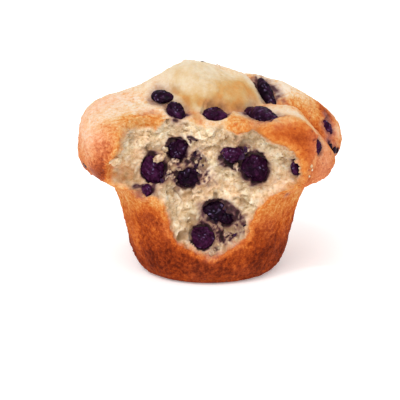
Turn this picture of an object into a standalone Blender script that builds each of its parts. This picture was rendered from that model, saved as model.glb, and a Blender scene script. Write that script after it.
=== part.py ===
"""A large blueberry muffin with its front broken open, about 102 mm across and 80 mm high.

Lengths are in millimetres and become metres where a mesh or a place is made. X runs to the
right, Y away from the broken front and Z up. The origin is the middle of the flat base.
"""

import math

import bmesh
import bpy
import numpy as np
from mathutils import Matrix, Vector
from mathutils.bvhtree import BVHTree

MM = 0.001

# Mesh density: columns round the muffin, rows from the base to the top, and each berry's grid.
COLUMNS = 64
ROWS = 43
CROWDING = 0.45  # how much closer the columns stand at the front than at the back
BERRY_SEGMENTS = 10
BERRY_RINGS = 6

# The baked wall as (radius, height), then the neck where the cap spills over it, and the cap's
# underside: how far out and up it starts, its share of the way from the neck to the belly, and
# the points round the belly as (out, up) from its widest place.
WALL = ((20.0, 0.0), (24.6, 0.3), (27.2, 2.4), (29.2, 5.8), (31.2, 12.0), (34.0, 24.0), (36.6, 33.0))
NECK_RADIUS = 37.3
NECK_HEIGHT = 35.6
UNDERSIDE_START = (1.9, 0.9)
UNDERSIDE_SHARE = (0.61, 0.3)
BELLY_CURVE = ((-2.2, -5.0), (0.0, 0.0), (-0.4, 5.0))
TYPICAL_RIM = 50.0
TYPICAL_BELLY = 46.5
FOOT_SHIFT = (-0.6, -1.0)  # the foot sits a little off the cap's middle
FOOT_SHIFT_FADES = ((46, 32), (34, 0))  # the heights between which the shift along X and Y grows

# The cap: (degrees round Z, value), 0 at +X and -90 at the broken front.
CAP_RADIUS = (
    (-180, 50.8), (-150, 50.8), (-120, 50.3), (-90, 50.0), (-50, 50.4), (-30, 49.6), (-15, 49.2),
    (3, 49.4), (18, 54.3), (40, 53.2), (65, 51.0), (90, 49.5), (135, 49.6),
)
BELLY_HEIGHT = (
    (-180, 46.6), (-60, 46.1), (-35, 45.7), (-15, 44.3), (-3, 43.4), (10, 46.0), (20, 47.9),
    (90, 46.6), (140, 46.6),
)
SHOULDER = (
    (-180, 4.5), (-150, 4.3), (-120, 3.3), (-90, 2.8), (-62, 4.2), (-45, 5.5), (-30, 4.6),
    (-18, 3.0), (-6, 2.4), (6, 2.1), (20, 2.35), (60, 2.9), (90, 3.1), (140, 3.4),
)
CAP_SHARE = 0.53  # where the cap's upper side starts, from 0 at the base's middle to 1 on top

# The top's height and its hills as (x, y, reach, height).
CROWN_HEIGHT = 65.9
CROWN_TILT = (-0.03, 0.02)
CROWN_HILLS = (
    (-7, 4, 16.5, 8.1), (7, 3, 8, -1.2), (-36, 2, 16, 1.6), (-26, 6, 8, 0.6), (-2, -36, 20, -7.0),
    (31, -27, 9, 1.8), (33, -5, 8, 2.6), (18, 15, 14.5, 7.4), (38, 9, 13, 3.4), (-8, 18, 13, 2.8),
    (-4, 34, 20, 3.0),
)
DOME_CENTRE = (-4.0, 1.8)
DOME_REACH = (22.0, 14.6)
DOME_RISE = 4.6
DOME_EDGE = ((-180, 0.1), (-130, 0.55), (-90, 1.0), (-40, 1.0), (10, 1.0), (45, 0.7), (100, 0.1))
DOME_SLOPE_START = (0.15, 0.55)  # for a soft edge, and how much further out for a sharp one
DOME_SLOPE_END = (1.6, -0.46)
CREASE_DEPTH = 1.6
CREASE_PLACE = 1.12  # as a share of the dome's reach, like its width
CREASE_WIDTH = 0.1

# The crack that runs out over the right rim between two lobes.
CRACK_Y = -1.0
CRACK_X = 24.0
CRACK_SLANT = 0.1
CRACK_SPAN = (20.0, 30.0)  # the crack grows between these places along X
CRACK_STEP = 2.4
CRACK_STEP_SPAN = (-1.5, 3.0)
CRACK_DEPTH = 3.2
CRACK_WIDTH = 1.6
CRACK_OFFSET = 1.0
NOTCH_DEPTH = 3.6
NOTCH_ANGLE = 0.0
NOTCH_WIDTH = 5.0

# The flat places of the lobe in front of the crack, as (degrees round Z, degrees up, distance
# from the origin), how softly they meet the round skin, and where they end at the crack.
FACETS = ((-68, 30, 63.8), (5, 39.6, 65.9))
FACET_SOFTNESS = 0.8
FACET_FADE = (0.5, -2.5)

# The torn front: its outline as (x, z) seen from the front, and the form of its face. Leans and
# shelves are (from, to, how far), and hollows are (x, z, reach, depth).
TEAR_OUTLINE = (
    (1, 10.5), (9.5, 15), (15, 18.5), (15.5, 23.5), (18.2, 29.5), (21.5, 33.0), (27, 34.8),
    (32, 35.8), (34.8, 39), (35.3, 44), (33.8, 49.5), (31, 53.5), (27.5, 56.2), (22.5, 58),
    (19.5, 60.5), (18.5, 64), (18.5, 85), (-33, 85), (-33, 62), (-34.2, 56), (-36, 52), (-39, 48.5),
    (-40.5, 44), (-40.5, 40), (-38, 36.2), (-30, 35), (-21.5, 34.4), (-18.3, 31.5), (-16.8, 26),
    (-15.6, 21), (-13, 16.5), (-6, 12.8),
)
FACE_Y = -29.0
FACE_LEANS = ((8, 36, 4.4), (36, 60, 1.4))
FACE_HOLLOWS = ((-11, 46, 18, 3.0), (17, 46, 13, 2.2), (3, 29, 11, 2.4))
FACE_SIDES = (22, 40, 4.0)  # out from the middle
FACE_LOW_SIDES = (9, 22, 4.0)  # below the cap only
FACE_LOW_FADE = (44, 34)
FACE_TOP_LEAN = (59, 71, 9.0)  # the middle of the face leans back at the top
FACE_TOP_LEFT = (-20, -13)
FACE_TOP_RIGHT = (12, 5)
CRUMBLING_EDGE = 4.0
CLIFF_SLOPE = 3.0
CLIFF_STEEPENING = 0.12  # for each millimetre above the neck
CLIFF_ROUNDING = 1.2
TEAR_SMOOTHING = 2  # passes that even out the broken edge between neighbouring points

# Waves that make the crust lumpy and the crumb craggy: count, shortest wave and height.
WAVE_TURN = 2.4
WAVE_STRETCH = 1.17
WAVE_GROWTH = 1.12
WAVE_PHASE = 1.9
CRUST_WAVES = (6, 17.0, 0.16)
CRUST_WAVE_RISE = (0.6, -0.5)  # how the waves shift with height
CRUST_WAVE_START = 8.0
CRUMB_WAVES = (9, 5.6, 0.22)

# Berries: name, where they sit, the two coordinates there, width, length, depth, turn, proud.
# "face" is x and z on the torn front, "top" is x and y from above, and "side" is degrees and z.
BERRIES = (
    ("berry_top_left", "top", -18.3, -9.4, 8.8, 6.2, 5.4, 0, 1.5),
    ("berry_top_middle_left", "top", -12.7, -17.0, 7.8, 7.6, 6.0, 20, 1.7),
    ("berry_top_middle", "top", 1.9, -16.4, 9.2, 7.6, 6.0, 0, 1.6),
    ("berry_top_right", "top", 18.6, -17.6, 18.2, 6.8, 6.0, -54, 1.6),
    ("berry_top_rear_right", "top", 21.9, 4.6, 5.2, 13.4, 5.2, 28, 1.4),
    ("berry_top_summit", "top", -3.4, 9.6, 9.6, 7.0, 5.4, 10, 0.3),
    ("berry_face_upper_left", "face", -11.8, 51.2, 8.6, 9.4, 6.4, 0, 1.0),
    ("berry_face_left", "face", -21.1, 44.2, 8.8, 12.0, 7.0, 12, 1.8),
    ("berry_face_middle_left", "face", -9.0, 40.5, 9.6, 8.0, 6.4, 0, 1.4),
    ("berry_face_low_left", "face", -24.4, 37.4, 5.2, 5.2, 4.4, 0, 1.2),
    ("berry_face_upper_right", "face", 7.2, 48.9, 8.8, 7.4, 5.8, -15, 1.3),
    ("berry_face_right", "face", 17.0, 44.2, 10.8, 12.8, 7.6, 20, 2.0),
    ("berry_face_far_right", "face", 31.3, 45.8, 4.4, 4.8, 4.0, 0, 1.0),
    ("berry_face_low_middle", "face", 3.0, 28.2, 12.4, 8.8, 6.4, -10, 0.8),
    ("berry_face_lowest", "face", -3.0, 19.0, 8.8, 9.6, 6.4, 15, 2.2),
    ("berry_side_right", "side", -34.0, 53.8, 5.0, 6.4, 4.0, -25, 1.0),
    ("berry_side_left", "side", -168.0, 41.8, 5.4, 4.8, 4.0, 0, 0.7),
    ("berry_rim_right", "side", 8.0, 54.0, 2.8, 6.4, 3.6, 15, 0.6),
    ("berry_rear_top_right", "top", 27.0, 27.0, 9.0, 8.0, 6.0, 35, 2.0),
    ("berry_rear_top", "top", 4.0, 34.0, 12.0, 7.0, 5.6, -15, 1.9),
    ("berry_rear_top_left", "top", -26.0, 25.0, 8.6, 8.0, 6.0, 10, 2.1),
    ("berry_rear_side_left", "side", 140.0, 50.0, 9.0, 7.6, 5.6, 20, 1.7),
    ("berry_rear_side_right", "side", 66.0, 47.0, 7.6, 9.4, 5.6, -10, 1.7),
    ("berry_rear_wall", "side", 104.0, 22.0, 6.6, 7.4, 4.6, 0, 0.9),
)
BERRY_LUMP = 0.055  # height of the lumps on a berry, as a share of its size
SKIN_SPREAD = 3.0  # how far round a berry the skin's direction is felt
OUTSIDE = 200.0  # a distance that is well clear of the muffin
SOCKET_GAP = 0.35


def ease(low, high, value):
    """A smooth step from 0 at low to 1 at high."""
    share = np.clip((value - low) / (high - low), 0, 1)
    return share * share * (3 - 2 * share)


def hill(x, y, centre_x, centre_y, reach):
    """A round hill of height 1 that has nearly died away at its reach."""
    return np.exp(-1.125 * ((x - centre_x) ** 2 + (y - centre_y) ** 2) / reach**2)


def spline(before, start, end, after, share):
    """A Catmull-Rom curve from start to end."""
    square = 2 * before - 5 * start + 4 * end - after
    cube = 3 * start - before - 3 * end + after
    return start + 0.5 * ((end - before) * share + square * share**2 + cube * share**3)


def round_value(degrees, table):
    """The smooth value at an angle of a table of (degrees, value) that closes on itself."""
    angles = np.array([row[0] for row in table], float)
    values = np.array([row[1] for row in table], float)
    count = len(table)
    turned = np.mod(degrees - angles[0], 360) + angles[0]
    index = np.clip(np.searchsorted(angles, turned, side="right") - 1, 0, count - 1)
    ends = np.append(angles, angles[0] + 360)
    share = (turned - ends[index]) / (ends[index + 1] - ends[index])
    around = [values[(index + step) % count] for step in (-1, 0, 1, 2)]
    return spline(*around, share)


def waves(first, second, settings):
    """A sum of sine waves of growing length, each turned by about the golden angle."""
    count, shortest, height = settings
    total = 0
    for number in range(count):
        turn = WAVE_TURN * number
        length = shortest * WAVE_STRETCH**number
        along = first * math.cos(turn) + second * math.sin(turn)
        phase = 2 * math.pi * along / length + WAVE_PHASE * number**2
        total = total + height * WAVE_GROWTH**number * np.sin(phase)
    return total


def beyond_crack(x, y):
    """How far a point lies behind the line of the crack."""
    return y - CRACK_Y - CRACK_SLANT * (x - CRACK_X)


def crown(x, y):
    """Height of the cap's top, before it rounds off to the rim."""
    height = CROWN_HEIGHT + CROWN_TILT[0] * x + CROWN_TILT[1] * y
    for centre_x, centre_y, reach, rise in CROWN_HILLS:
        height = height + rise * hill(x, y, centre_x, centre_y, reach)
    east = (x - DOME_CENTRE[0]) / DOME_REACH[0]
    north = (y - DOME_CENTRE[1]) / DOME_REACH[1]
    out = np.hypot(east, north)
    side = np.arctan2(y - DOME_CENTRE[1], x - DOME_CENTRE[0])
    sharp = round_value(np.degrees(side), DOME_EDGE)
    slope_start = DOME_SLOPE_START[0] + DOME_SLOPE_START[1] * sharp
    slope_end = DOME_SLOPE_END[0] + DOME_SLOPE_END[1] * sharp
    height = height + DOME_RISE * (1 - ease(slope_start, slope_end, out))
    height = height - CREASE_DEPTH * sharp * np.exp(-(((out - CREASE_PLACE) / CREASE_WIDTH) ** 2))
    past_crack = beyond_crack(x, y)
    near_rim = ease(*CRACK_SPAN, x)
    height = height + CRACK_STEP * near_rim * ease(*CRACK_STEP_SPAN, past_crack)
    groove = np.exp(-(((past_crack + CRACK_OFFSET) / CRACK_WIDTH) ** 2))
    return height - CRACK_DEPTH * near_rim * groove


def lower_side(degrees, rim, belly):
    """Radius and height stations from the base's middle up the wall and round under the cap."""
    flat = degrees * 0
    stations = [(flat, flat)]
    stations += [(flat + radius, flat + height) for radius, height in WALL]
    out, up = UNDERSIDE_START
    stations.append((flat + NECK_RADIUS + out, flat + NECK_HEIGHT + up))
    out_share, up_share = UNDERSIDE_SHARE
    out = NECK_RADIUS + out_share * (rim - NECK_RADIUS)
    up = NECK_HEIGHT + up_share * (belly - NECK_HEIGHT)
    stations.append((out, up))
    stations += [(rim + out, belly + up) for out, up in BELLY_CURVE]
    return np.array(stations)


def station_shares():
    """The share of the way from the base's middle to the top at which each station lies."""
    typical = lower_side(np.zeros(1), np.array([TYPICAL_RIM]), np.array([TYPICAL_BELLY]))
    stations = typical[:-1, :, 0]
    steps = np.hypot(*np.diff(stations, axis=0).T)
    return CAP_SHARE * np.append(0, np.cumsum(steps)) / steps.sum()


def with_facets(x, y, z):
    """The skin with the lobe in front of the crack cut back to its flat places."""
    share = ease(*FACET_FADE, beyond_crack(x, y))
    for degrees, lift, distance in FACETS:
        turn, rise = math.radians(degrees), math.radians(lift)
        east, north, up = math.cos(turn) * math.cos(rise), math.sin(turn) * math.cos(rise), math.sin(rise)
        over = east * x + north * y + up * z - distance
        cut = share * (over + np.hypot(over, FACET_SOFTNESS)) / 2
        x, y, z = x - east * cut, y - north * cut, z - up * cut
    return x, y, z


def whole_skin(angles, shares):
    """X, Y and Z of the unbroken muffin's skin on a grid of angles and shares."""
    degrees = np.degrees(angles)
    from_notch = np.mod(degrees - NOTCH_ANGLE + 180, 360) - 180
    rim = round_value(degrees, CAP_RADIUS) - NOTCH_DEPTH * np.exp(-((from_notch / NOTCH_WIDTH) ** 2))
    belly = round_value(degrees, BELLY_HEIGHT)
    power = round_value(degrees, SHOULDER)
    known = station_shares()
    stations = lower_side(degrees, rim, belly)
    index = np.clip(np.searchsorted(known, shares, side="right") - 1, 0, len(known) - 2)
    share = ((shares - known[index]) / (known[index + 1] - known[index])).reshape(-1, 1)
    around = [stations[np.maximum(index + step, 0)] for step in (-1, 0, 1, 2)]
    radius = spline(*[station[:, 0] for station in around], share)
    height = spline(*[station[:, 1] for station in around], share)
    height = np.maximum(np.where(shares[:, None] <= known[1], 0, height), 0)
    lift = np.clip((shares - CAP_SHARE) / (1 - CAP_SHARE), 0, 1)[:, None] * math.pi / 2
    rounding = (np.cos(lift) ** power + np.sin(lift) ** power) ** (1 / power)
    on_cap = (shares >= CAP_SHARE)[:, None]
    radius = np.where(on_cap, rim * np.cos(lift) / rounding, radius)
    x = radius * np.cos(angles)
    y = radius * np.sin(angles)
    height = np.where(on_cap, belly + (crown(x, y) - belly) * np.sin(lift) / rounding, height)
    across = x + CRUST_WAVE_RISE[0] * height
    along = y + CRUST_WAVE_RISE[1] * height
    swell = waves(across, along, CRUST_WAVES) / TYPICAL_RIM * ease(0, CRUST_WAVE_START, height)
    x = x * (1 + swell) + FOOT_SHIFT[0] * ease(*FOOT_SHIFT_FADES[0], height)
    y = y * (1 + swell) + FOOT_SHIFT[1] * ease(*FOOT_SHIFT_FADES[1], height)
    return with_facets(x, y, height)


def inside_tear(x, z):
    """How far a point seen from the front lies inside the tear's outline, negative outside."""
    corners = np.array(TEAR_OUTLINE, float)
    nearest = np.full(x.shape, np.inf)
    inside = np.zeros(x.shape, bool)
    for (start_x, start_z), (end_x, end_z) in zip(corners, np.roll(corners, -1, axis=0)):
        run, rise = end_x - start_x, end_z - start_z
        share = ((x - start_x) * run + (z - start_z) * rise) / (run**2 + rise**2)
        share = np.clip(share, 0, 1)
        nearest = np.minimum(nearest, np.hypot(x - start_x - share * run, z - start_z - share * rise))
        if rise:
            crossing = start_x + run * (z - start_z) / rise
            inside ^= ((start_z > z) != (end_z > z)) & (x < crossing)
    return np.where(inside, nearest, -nearest)


def face(x, z):
    """Y of the torn face behind a point seen from the front."""
    y = FACE_Y + sum(back * ease(low, high, z) for low, high, back in FACE_LEANS)
    for centre_x, centre_z, reach, depth in FACE_HOLLOWS:
        y = y + depth * hill(x, z, centre_x, centre_z, reach)
    near, far, forward = FACE_SIDES
    y = y - forward * ease(near, far, np.abs(x))
    near, far, forward = FACE_LOW_SIDES
    y = y - forward * ease(near, far, np.abs(x)) * ease(*FACE_LOW_FADE, z)
    low, high, back = FACE_TOP_LEAN
    return y + back * ease(low, high, z) * ease(*FACE_TOP_LEFT, x) * ease(*FACE_TOP_RIGHT, x)


def evened(values):
    """A grid's values, each averaged with its neighbours up, down and round."""
    rows = np.pad(values, ((1, 1), (0, 0)), mode="edge")
    values = (rows[:-2] + 2 * rows[1:-1] + rows[2:]) / 4
    return (np.roll(values, 1, axis=1) + 2 * values + np.roll(values, -1, axis=1)) / 4


def tear_front(x, y, z):
    """Y after the front is broken away: pushed back to the face, with a steep edge all round."""
    inside = np.maximum(inside_tear(x, z), 0)
    crumbling = ease(0, CRUMBLING_EDGE, inside)
    wanted = np.maximum(face(x, z) + crumbling * waves(x, z, CRUMB_WAVES) - y, 0)
    reach = np.hypot(inside, CLIFF_ROUNDING) - CLIFF_ROUNDING
    allowed = reach * (CLIFF_SLOPE + CLIFF_STEEPENING * np.maximum(z - NECK_HEIGHT, 0))
    blend = np.clip(0.5 + 0.5 * (allowed - wanted) / CLIFF_ROUNDING, 0, 1)
    depth = allowed + (wanted - allowed) * blend - CLIFF_ROUNDING * blend * (1 - blend)
    depth = np.where((y < 0) & (inside > 0), np.maximum(depth, 0), 0)
    for _ in range(TEAR_SMOOTHING):
        depth = evened(depth)
    return y + depth


def column_angles():
    """Angles round the muffin, closer together at the broken front."""
    turn = np.arange(COLUMNS) * 2 * math.pi / COLUMNS - math.pi
    return turn - CROWDING * np.sin(turn) - math.pi / 2


def closed_grid_faces(rows, columns):
    """Triangles between the rows of a grid that closes round, with a fan to a pole at each end."""
    low = np.arange(rows - 1)[:, None] * columns + np.arange(columns)
    low_next = np.arange(rows - 1)[:, None] * columns + (np.arange(columns) + 1) % columns
    halves = np.stack([low, low_next, low_next + columns, low, low_next + columns, low + columns])
    triangles = np.moveaxis(halves, 0, -1).reshape(-1, 3).tolist()
    bottom, top = rows * columns, rows * columns + 1
    last = (rows - 1) * columns
    fans = []
    for column in range(columns):
        following = (column + 1) % columns
        fans.append((bottom, following, column))
        fans.append((top, last + column, last + following))
    return triangles + fans


def make_material(name, colour, roughness):
    """A plain glossy or dull finish in one colour."""
    material = bpy.data.materials.new(name)
    material.use_nodes = True
    shader = material.node_tree.nodes["Principled BSDF"]
    shader.inputs["Base Color"].default_value = (*colour, 1)
    shader.inputs["Roughness"].default_value = roughness
    shader.inputs["Metallic"].default_value = 0
    material.diffuse_color = (*colour, 1)
    return material


def add_object(name, mesh, collection, material=None):
    """A smooth-shaded object of this mesh in this collection."""
    mesh.shade_smooth()
    if material:
        mesh.materials.append(material)
    made = bpy.data.objects.new(name, mesh)
    collection.objects.link(made)
    return made


def make_muffin(collection):
    """The muffin itself: one closed skin from the base to the top."""
    angles = column_angles()
    base_share = station_shares()[1]
    shares = np.linspace(base_share, 1, ROWS + 1)[:-1]
    x, y, z = whole_skin(angles, shares)
    y = tear_front(x, y, z)
    points = np.stack([x, y, z], axis=-1).reshape(-1, 3)
    poles = [(0, 0, 0), (0, 0, float(crown(np.zeros(1), np.zeros(1))[0]))]
    points = np.vstack([points, poles]) * MM
    mesh = bpy.data.meshes.new("muffin")
    mesh.from_pydata(points.tolist(), [], closed_grid_faces(ROWS, COLUMNS))
    crust = make_material("baked_crust", (0.62, 0.31, 0.11), 0.75)
    return add_object("muffin", mesh, collection, crust)


def skin_ray(where, first, second):
    """The start and direction of a ray that meets the skin at a berry's place."""
    if where == "face":
        return Vector((first, -OUTSIDE, second)), Vector((0, 1, 0))
    if where == "top":
        return Vector((first, second, OUTSIDE)), Vector((0, 0, -1))
    angle = math.radians(first)
    outwards = Vector((math.cos(angle), math.sin(angle), 0))
    return outwards * OUTSIDE + Vector((0, 0, second)), -outwards


def place_on_skin(tree, where, first, second):
    """The point of the skin at a berry's place, and the skin's outward direction round it."""
    start, direction = skin_ray(where, first, second)
    across = direction.orthogonal().normalized()
    up = direction.cross(across)
    outwards = Vector()
    for sideways, upwards in ((0, 0), (1, 0), (-1, 0), (0, 1), (0, -1)):
        shifted = start + SKIN_SPREAD * (sideways * across + upwards * up)
        hit, normal, _, _ = tree.ray_cast(shifted * MM, direction)
        if hit is None:
            continue
        if not sideways and not upwards:
            place = hit / MM
        outwards += normal
    return place, outwards.normalized()


def berry_frame(outwards, turn):
    """A turning that lays a berry's depth along outwards and its length up the skin."""
    upright = Vector((0, 0, 1)) if abs(outwards.z) < 0.8 else Vector((0, 1, 0))
    across = upright.cross(outwards).normalized()
    length = outwards.cross(across)
    upright_frame = Matrix((across, length, outwards)).transposed()
    return upright_frame @ Matrix.Rotation(math.radians(turn), 3, "Z")


def berry_mesh(name, number, size):
    """A lumpy, slightly slumped ball with the given width, length and depth."""
    mesh = bpy.data.meshes.new(name)
    shape = bmesh.new()
    bmesh.ops.create_uvsphere(
        shape, u_segments=BERRY_SEGMENTS, v_segments=BERRY_RINGS, radius=0.5
    )
    for vertex in shape.verts:
        x, y, z = vertex.co
        lump = math.sin(7.1 * x + 2.3 * number) + math.sin(6.3 * y - 1.7 * number)
        lump += math.sin(5.2 * (x + y) + 4.0 * z + number)
        vertex.co *= 1 + BERRY_LUMP * lump
        vertex.co = Vector(vertex.co[axis] * size[axis] * MM for axis in range(3))
    bmesh.ops.triangulate(shape, faces=shape.faces)
    shape.to_mesh(mesh)
    shape.free()
    return mesh


def make_berries(muffin, collection, sockets):
    """The berries that show, each sunk in the skin, and the larger cutters for their sockets."""
    skin = bmesh.new()
    skin.from_mesh(muffin.data)
    tree = BVHTree.FromBMesh(skin)
    skin.free()
    juice = make_material("baked_berry", (0.035, 0.018, 0.05), 0.3)
    for number, row in enumerate(BERRIES):
        name, where, first, second, width, length, depth, turn, proud = row
        place, outwards = place_on_skin(tree, where, first, second)
        centre = place + outwards * (proud - depth / 2)
        turned = berry_frame(outwards, turn)
        for made_name, holder, grow, finish in (
            (name, collection, 0.0, juice), (name + "_socket", sockets, 2 * SOCKET_GAP, None)
        ):
            size = (width + grow, length + grow, depth + grow)
            made = add_object(made_name, berry_mesh(made_name, number, size), holder, finish)
            made.location = centre * MM
            made.rotation_euler = turned.to_euler()
            if holder is sockets:
                made.hide_render = True
                made.display_type = "WIRE"


def main():
    for old in list(bpy.data.objects):
        bpy.data.objects.remove(old)
    scene_collection = bpy.context.scene.collection
    sockets = bpy.data.collections.new("sockets")
    scene_collection.children.link(sockets)
    muffin = make_muffin(scene_collection)
    make_berries(muffin, scene_collection, sockets)
    cut = muffin.modifiers.new("sockets", "BOOLEAN")
    cut.operation = "DIFFERENCE"
    cut.solver = "EXACT"
    cut.operand_type = "COLLECTION"
    cut.collection = sockets


main()
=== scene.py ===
import math
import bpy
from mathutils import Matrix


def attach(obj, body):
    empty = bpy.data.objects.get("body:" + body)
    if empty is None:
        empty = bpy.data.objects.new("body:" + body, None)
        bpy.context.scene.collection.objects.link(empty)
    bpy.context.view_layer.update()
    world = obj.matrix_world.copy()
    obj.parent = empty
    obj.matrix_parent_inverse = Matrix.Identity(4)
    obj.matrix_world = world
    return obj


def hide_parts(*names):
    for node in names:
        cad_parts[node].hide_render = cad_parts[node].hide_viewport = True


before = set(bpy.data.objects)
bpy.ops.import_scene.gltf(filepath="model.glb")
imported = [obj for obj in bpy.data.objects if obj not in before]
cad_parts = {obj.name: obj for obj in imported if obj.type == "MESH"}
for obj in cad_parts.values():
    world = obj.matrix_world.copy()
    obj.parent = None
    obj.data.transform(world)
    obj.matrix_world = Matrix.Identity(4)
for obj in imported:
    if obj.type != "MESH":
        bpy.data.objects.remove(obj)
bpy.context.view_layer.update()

from types import SimpleNamespace

import bpy
import numpy as np
from mathutils import Vector

# A large blueberry muffin, its front broken open. Shapes are worked out in millimetres with X to the
# right, Y away from the broken front and Z up from the middle of the flat base.
mm = 0.001


def ease(low, high, value):
    # smooth step: 0 at low, 1 at high, 3s^2 - 2s^3 between
    share = np.clip((value - low) / (high - low), 0, 1)
    return share * share * (3 - 2 * share)


def stepped(value, level, steps):
    # a level with smooth changes, each (from, to, change)
    return level + sum(change * ease(start, end, value) for start, end, change in steps)


def blended(share, first, second):
    # the first where the share is 0, the second where it is 1
    return first * (1 - share) + second * share


def bell(value, width):
    # 1 at zero, falling off on both sides as exp(-(value / width)^2)
    return np.exp(-((value / width) ** 2))


def hills(x, y, rows):
    # round hills, each (x, y, reach, height): sum of height * exp(-1.125 d^2 / reach^2)
    total = 0
    for middleX, middleY, reach, height in rows:
        total = total + height * np.exp(-1.125 * ((x - middleX) ** 2 + (y - middleY) ** 2) / reach**2)
    return total


def nearSpots(points, spots, column):
    # soft balls (x, y, z, reach, values): sum of the value in this column * exp(-1.125 d^2 / reach^2)
    total = np.zeros(points.shape[:-1])
    for spot in spots:
        square = np.sum((points - np.array(spot[:3])) ** 2, axis=-1)
        total = total + spot[column] * np.exp(-1.125 * square / spot[3] ** 2)
    return total


def fromPath(points, path):
    # distance to a path of straight stretches, in as many dimensions as its corners have
    corners = np.array(path, float)
    nearest = np.full(points.shape[:-1], np.inf)
    for start, end in zip(corners, corners[1:]):
        run = end - start
        share = np.clip((points - start) @ run / (run @ run), 0, 1)
        nearest = np.minimum(nearest, np.linalg.norm(points - start - share[..., None] * run, axis=-1))
    return nearest


def spline(before, start, end, after, share):
    # Catmull-Rom curve from start to end
    square = 2 * before - 5 * start + 4 * end - after
    cube = 3 * start - before - 3 * end + after
    return start + 0.5 * ((end - before) * share + square * share**2 + cube * share**3)


def roundValue(degrees, table):
    # smooth value at an angle of a table of (degrees, value) that closes on itself
    angles, values = np.array(table, float).T
    turned = np.mod(degrees - angles[0], 360) + angles[0]
    index = np.clip(np.searchsorted(angles, turned, side="right") - 1, 0, len(table) - 1)
    ends = np.append(angles, angles[0] + 360)
    share = (turned - ends[index]) / (ends[index + 1] - ends[index])
    around = [values[(index + step) % len(table)] for step in (-1, 0, 1, 2)]
    return spline(*around, share)


def waves(first, second, settings):
    # sum of sine waves of growing length, each turned by the golden angle
    count, shortest, height = settings
    total = 0
    for number in range(count):
        turn = 2.4 * number
        along = first * math.cos(turn) + second * math.sin(turn)
        phase = 2 * math.pi * along / (shortest * 1.17**number) + 1.9 * number**2
        total = total + height * 1.12**number * np.sin(phase)
    return total


noiseTables = {"seed": 11, "size": 256}
noiseDraw = np.random.default_rng(noiseTables["seed"])
slopeTable = noiseDraw.normal(size=(noiseTables["size"], 3))
slopeTable /= np.linalg.norm(slopeTable, axis=1, keepdims=True)
mixTable = noiseDraw.permutation(noiseTables["size"])
spotTable = noiseDraw.uniform(0.12, 0.88, size=(noiseTables["size"], 3))
ownTable = noiseDraw.uniform(size=noiseTables["size"])


def mixed(cell):
    # repeatable random index for each whole-number cell
    last = noiseTables["size"] - 1
    first = mixTable[cell[..., 0] & last]
    second = mixTable[(first + cell[..., 1]) & last]
    return mixTable[(second + cell[..., 2]) & last]


def softNoise(points, length, seed=0):
    # gradient noise, about -1 to 1: slopes at the corners of cells of this length, faded into each other
    scaled = points / length + 17.31 * seed
    cell = np.floor(scaled).astype(int)
    part = scaled - cell
    fade = part**3 * (part * (part * 6 - 15) + 10)
    total = 0
    for corner in np.ndindex(2, 2, 2):
        offset = np.array(corner)
        weight = np.prod(np.where(offset, fade, 1 - fade), axis=-1)
        total = total + weight * np.sum(slopeTable[mixed(cell + offset)] * (part - offset), axis=-1)
    return 1.7 * total


def ripple(points, finish, seed):
    # soft noise of a finish's spacing times its height
    return finish[1] * softNoise(points, finish[0], seed)


def wander(points, *rows):
    # sum of soft noises, each (spacing, height, seed)
    return sum(ripple(points, row, row[2]) for row in rows)


def shaken(points, reach, length, seed):
    # points moved along the cube's diagonal by soft noise
    return points + reach * softNoise(points, length, seed)[..., None]


def cells(points, length, seed=0):
    # one spot in each cell of this length: distance to the nearest, to the second, and its own number
    scaled = points / length + 9.73 * seed
    base = np.floor(scaled).astype(int)
    nearest = np.full(scaled.shape[:-1], 9.0)
    second = nearest.copy()
    own = np.zeros_like(nearest)
    for step in np.ndindex(3, 3, 3):
        cell = base + np.array(step) - 1
        index = mixed(cell)
        distance = np.linalg.norm(scaled - cell - spotTable[index], axis=-1)
        closer = distance < nearest
        second = np.where(closer, nearest, np.minimum(second, distance))
        own = np.where(closer, ownTable[index], own)
        nearest = np.minimum(nearest, distance)
    return nearest, second, own


def pits(points, finish, seed):
    # round pits in a share of the cells, 1 inside the core and 0 past the edge, both in cell lengths
    length, _, share, core, edge = finish
    nearest, _, own = cells(points, length, seed)
    return (own < share) * (1 - ease(core, edge, nearest))


def evenedRound(values, passes):
    # each value averaged with its neighbours round the grid, as often as asked
    for _ in range(passes):
        values = (np.roll(values, 1, axis=1) + 2 * values + np.roll(values, -1, axis=1)) / 4
    return values


def evened(values, passes):
    # each value averaged with its neighbours up, down and round, as often as asked
    for _ in range(passes):
        rows = np.pad(values, ((1, 1), (0, 0)), mode="edge")
        values = evenedRound((rows[:-2] + 2 * rows[1:-1] + rows[2:]) / 4, 1)
    return values


def evenedWhere(share, values, passes):
    # evenedRound by a share that can differ from point to point
    return values + share * (evenedRound(values, passes) - values)


def closedGridFaces(rows, columns):
    # triangles of a grid that closes round, with a fan to a pole at each end
    column = np.arange(columns)
    after = (column + 1) % columns
    low = np.arange(rows - 1)[:, None] * columns
    halves = [low + column, low + after, low + after + columns]
    halves += [low + column, low + after + columns, low + column + columns]
    triangles = np.stack(np.broadcast_arrays(*halves), axis=-1).reshape(-1, 3)
    last = (rows - 1) * columns
    bottomFan = np.stack([np.full(columns, rows * columns), after, column], axis=-1)
    topFan = np.stack([np.full(columns, rows * columns + 1), last + column, last + after], axis=-1)
    return np.vstack([triangles, bottomFan, topFan])


def ballGrid(rows, columns):
    # points on a ball of radius 1, row by row from its lower pole to its upper one
    rise = np.linspace(-math.pi / 2, math.pi / 2, rows + 2)[:, None]
    turn = np.linspace(0, 2 * math.pi, columns, endpoint=False)
    level = [np.cos(rise) * np.cos(turn), np.cos(rise) * np.sin(turn), np.sin(rise) + 0 * turn]
    return np.stack(level, axis=-1)


def withPoles(grid):
    # a ball's points as closedGridFaces wants them: the rows between its poles, then the two poles
    return np.vstack([grid[1:-1].reshape(-1, 3), grid[[0, -1]].mean(axis=1)])


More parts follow.
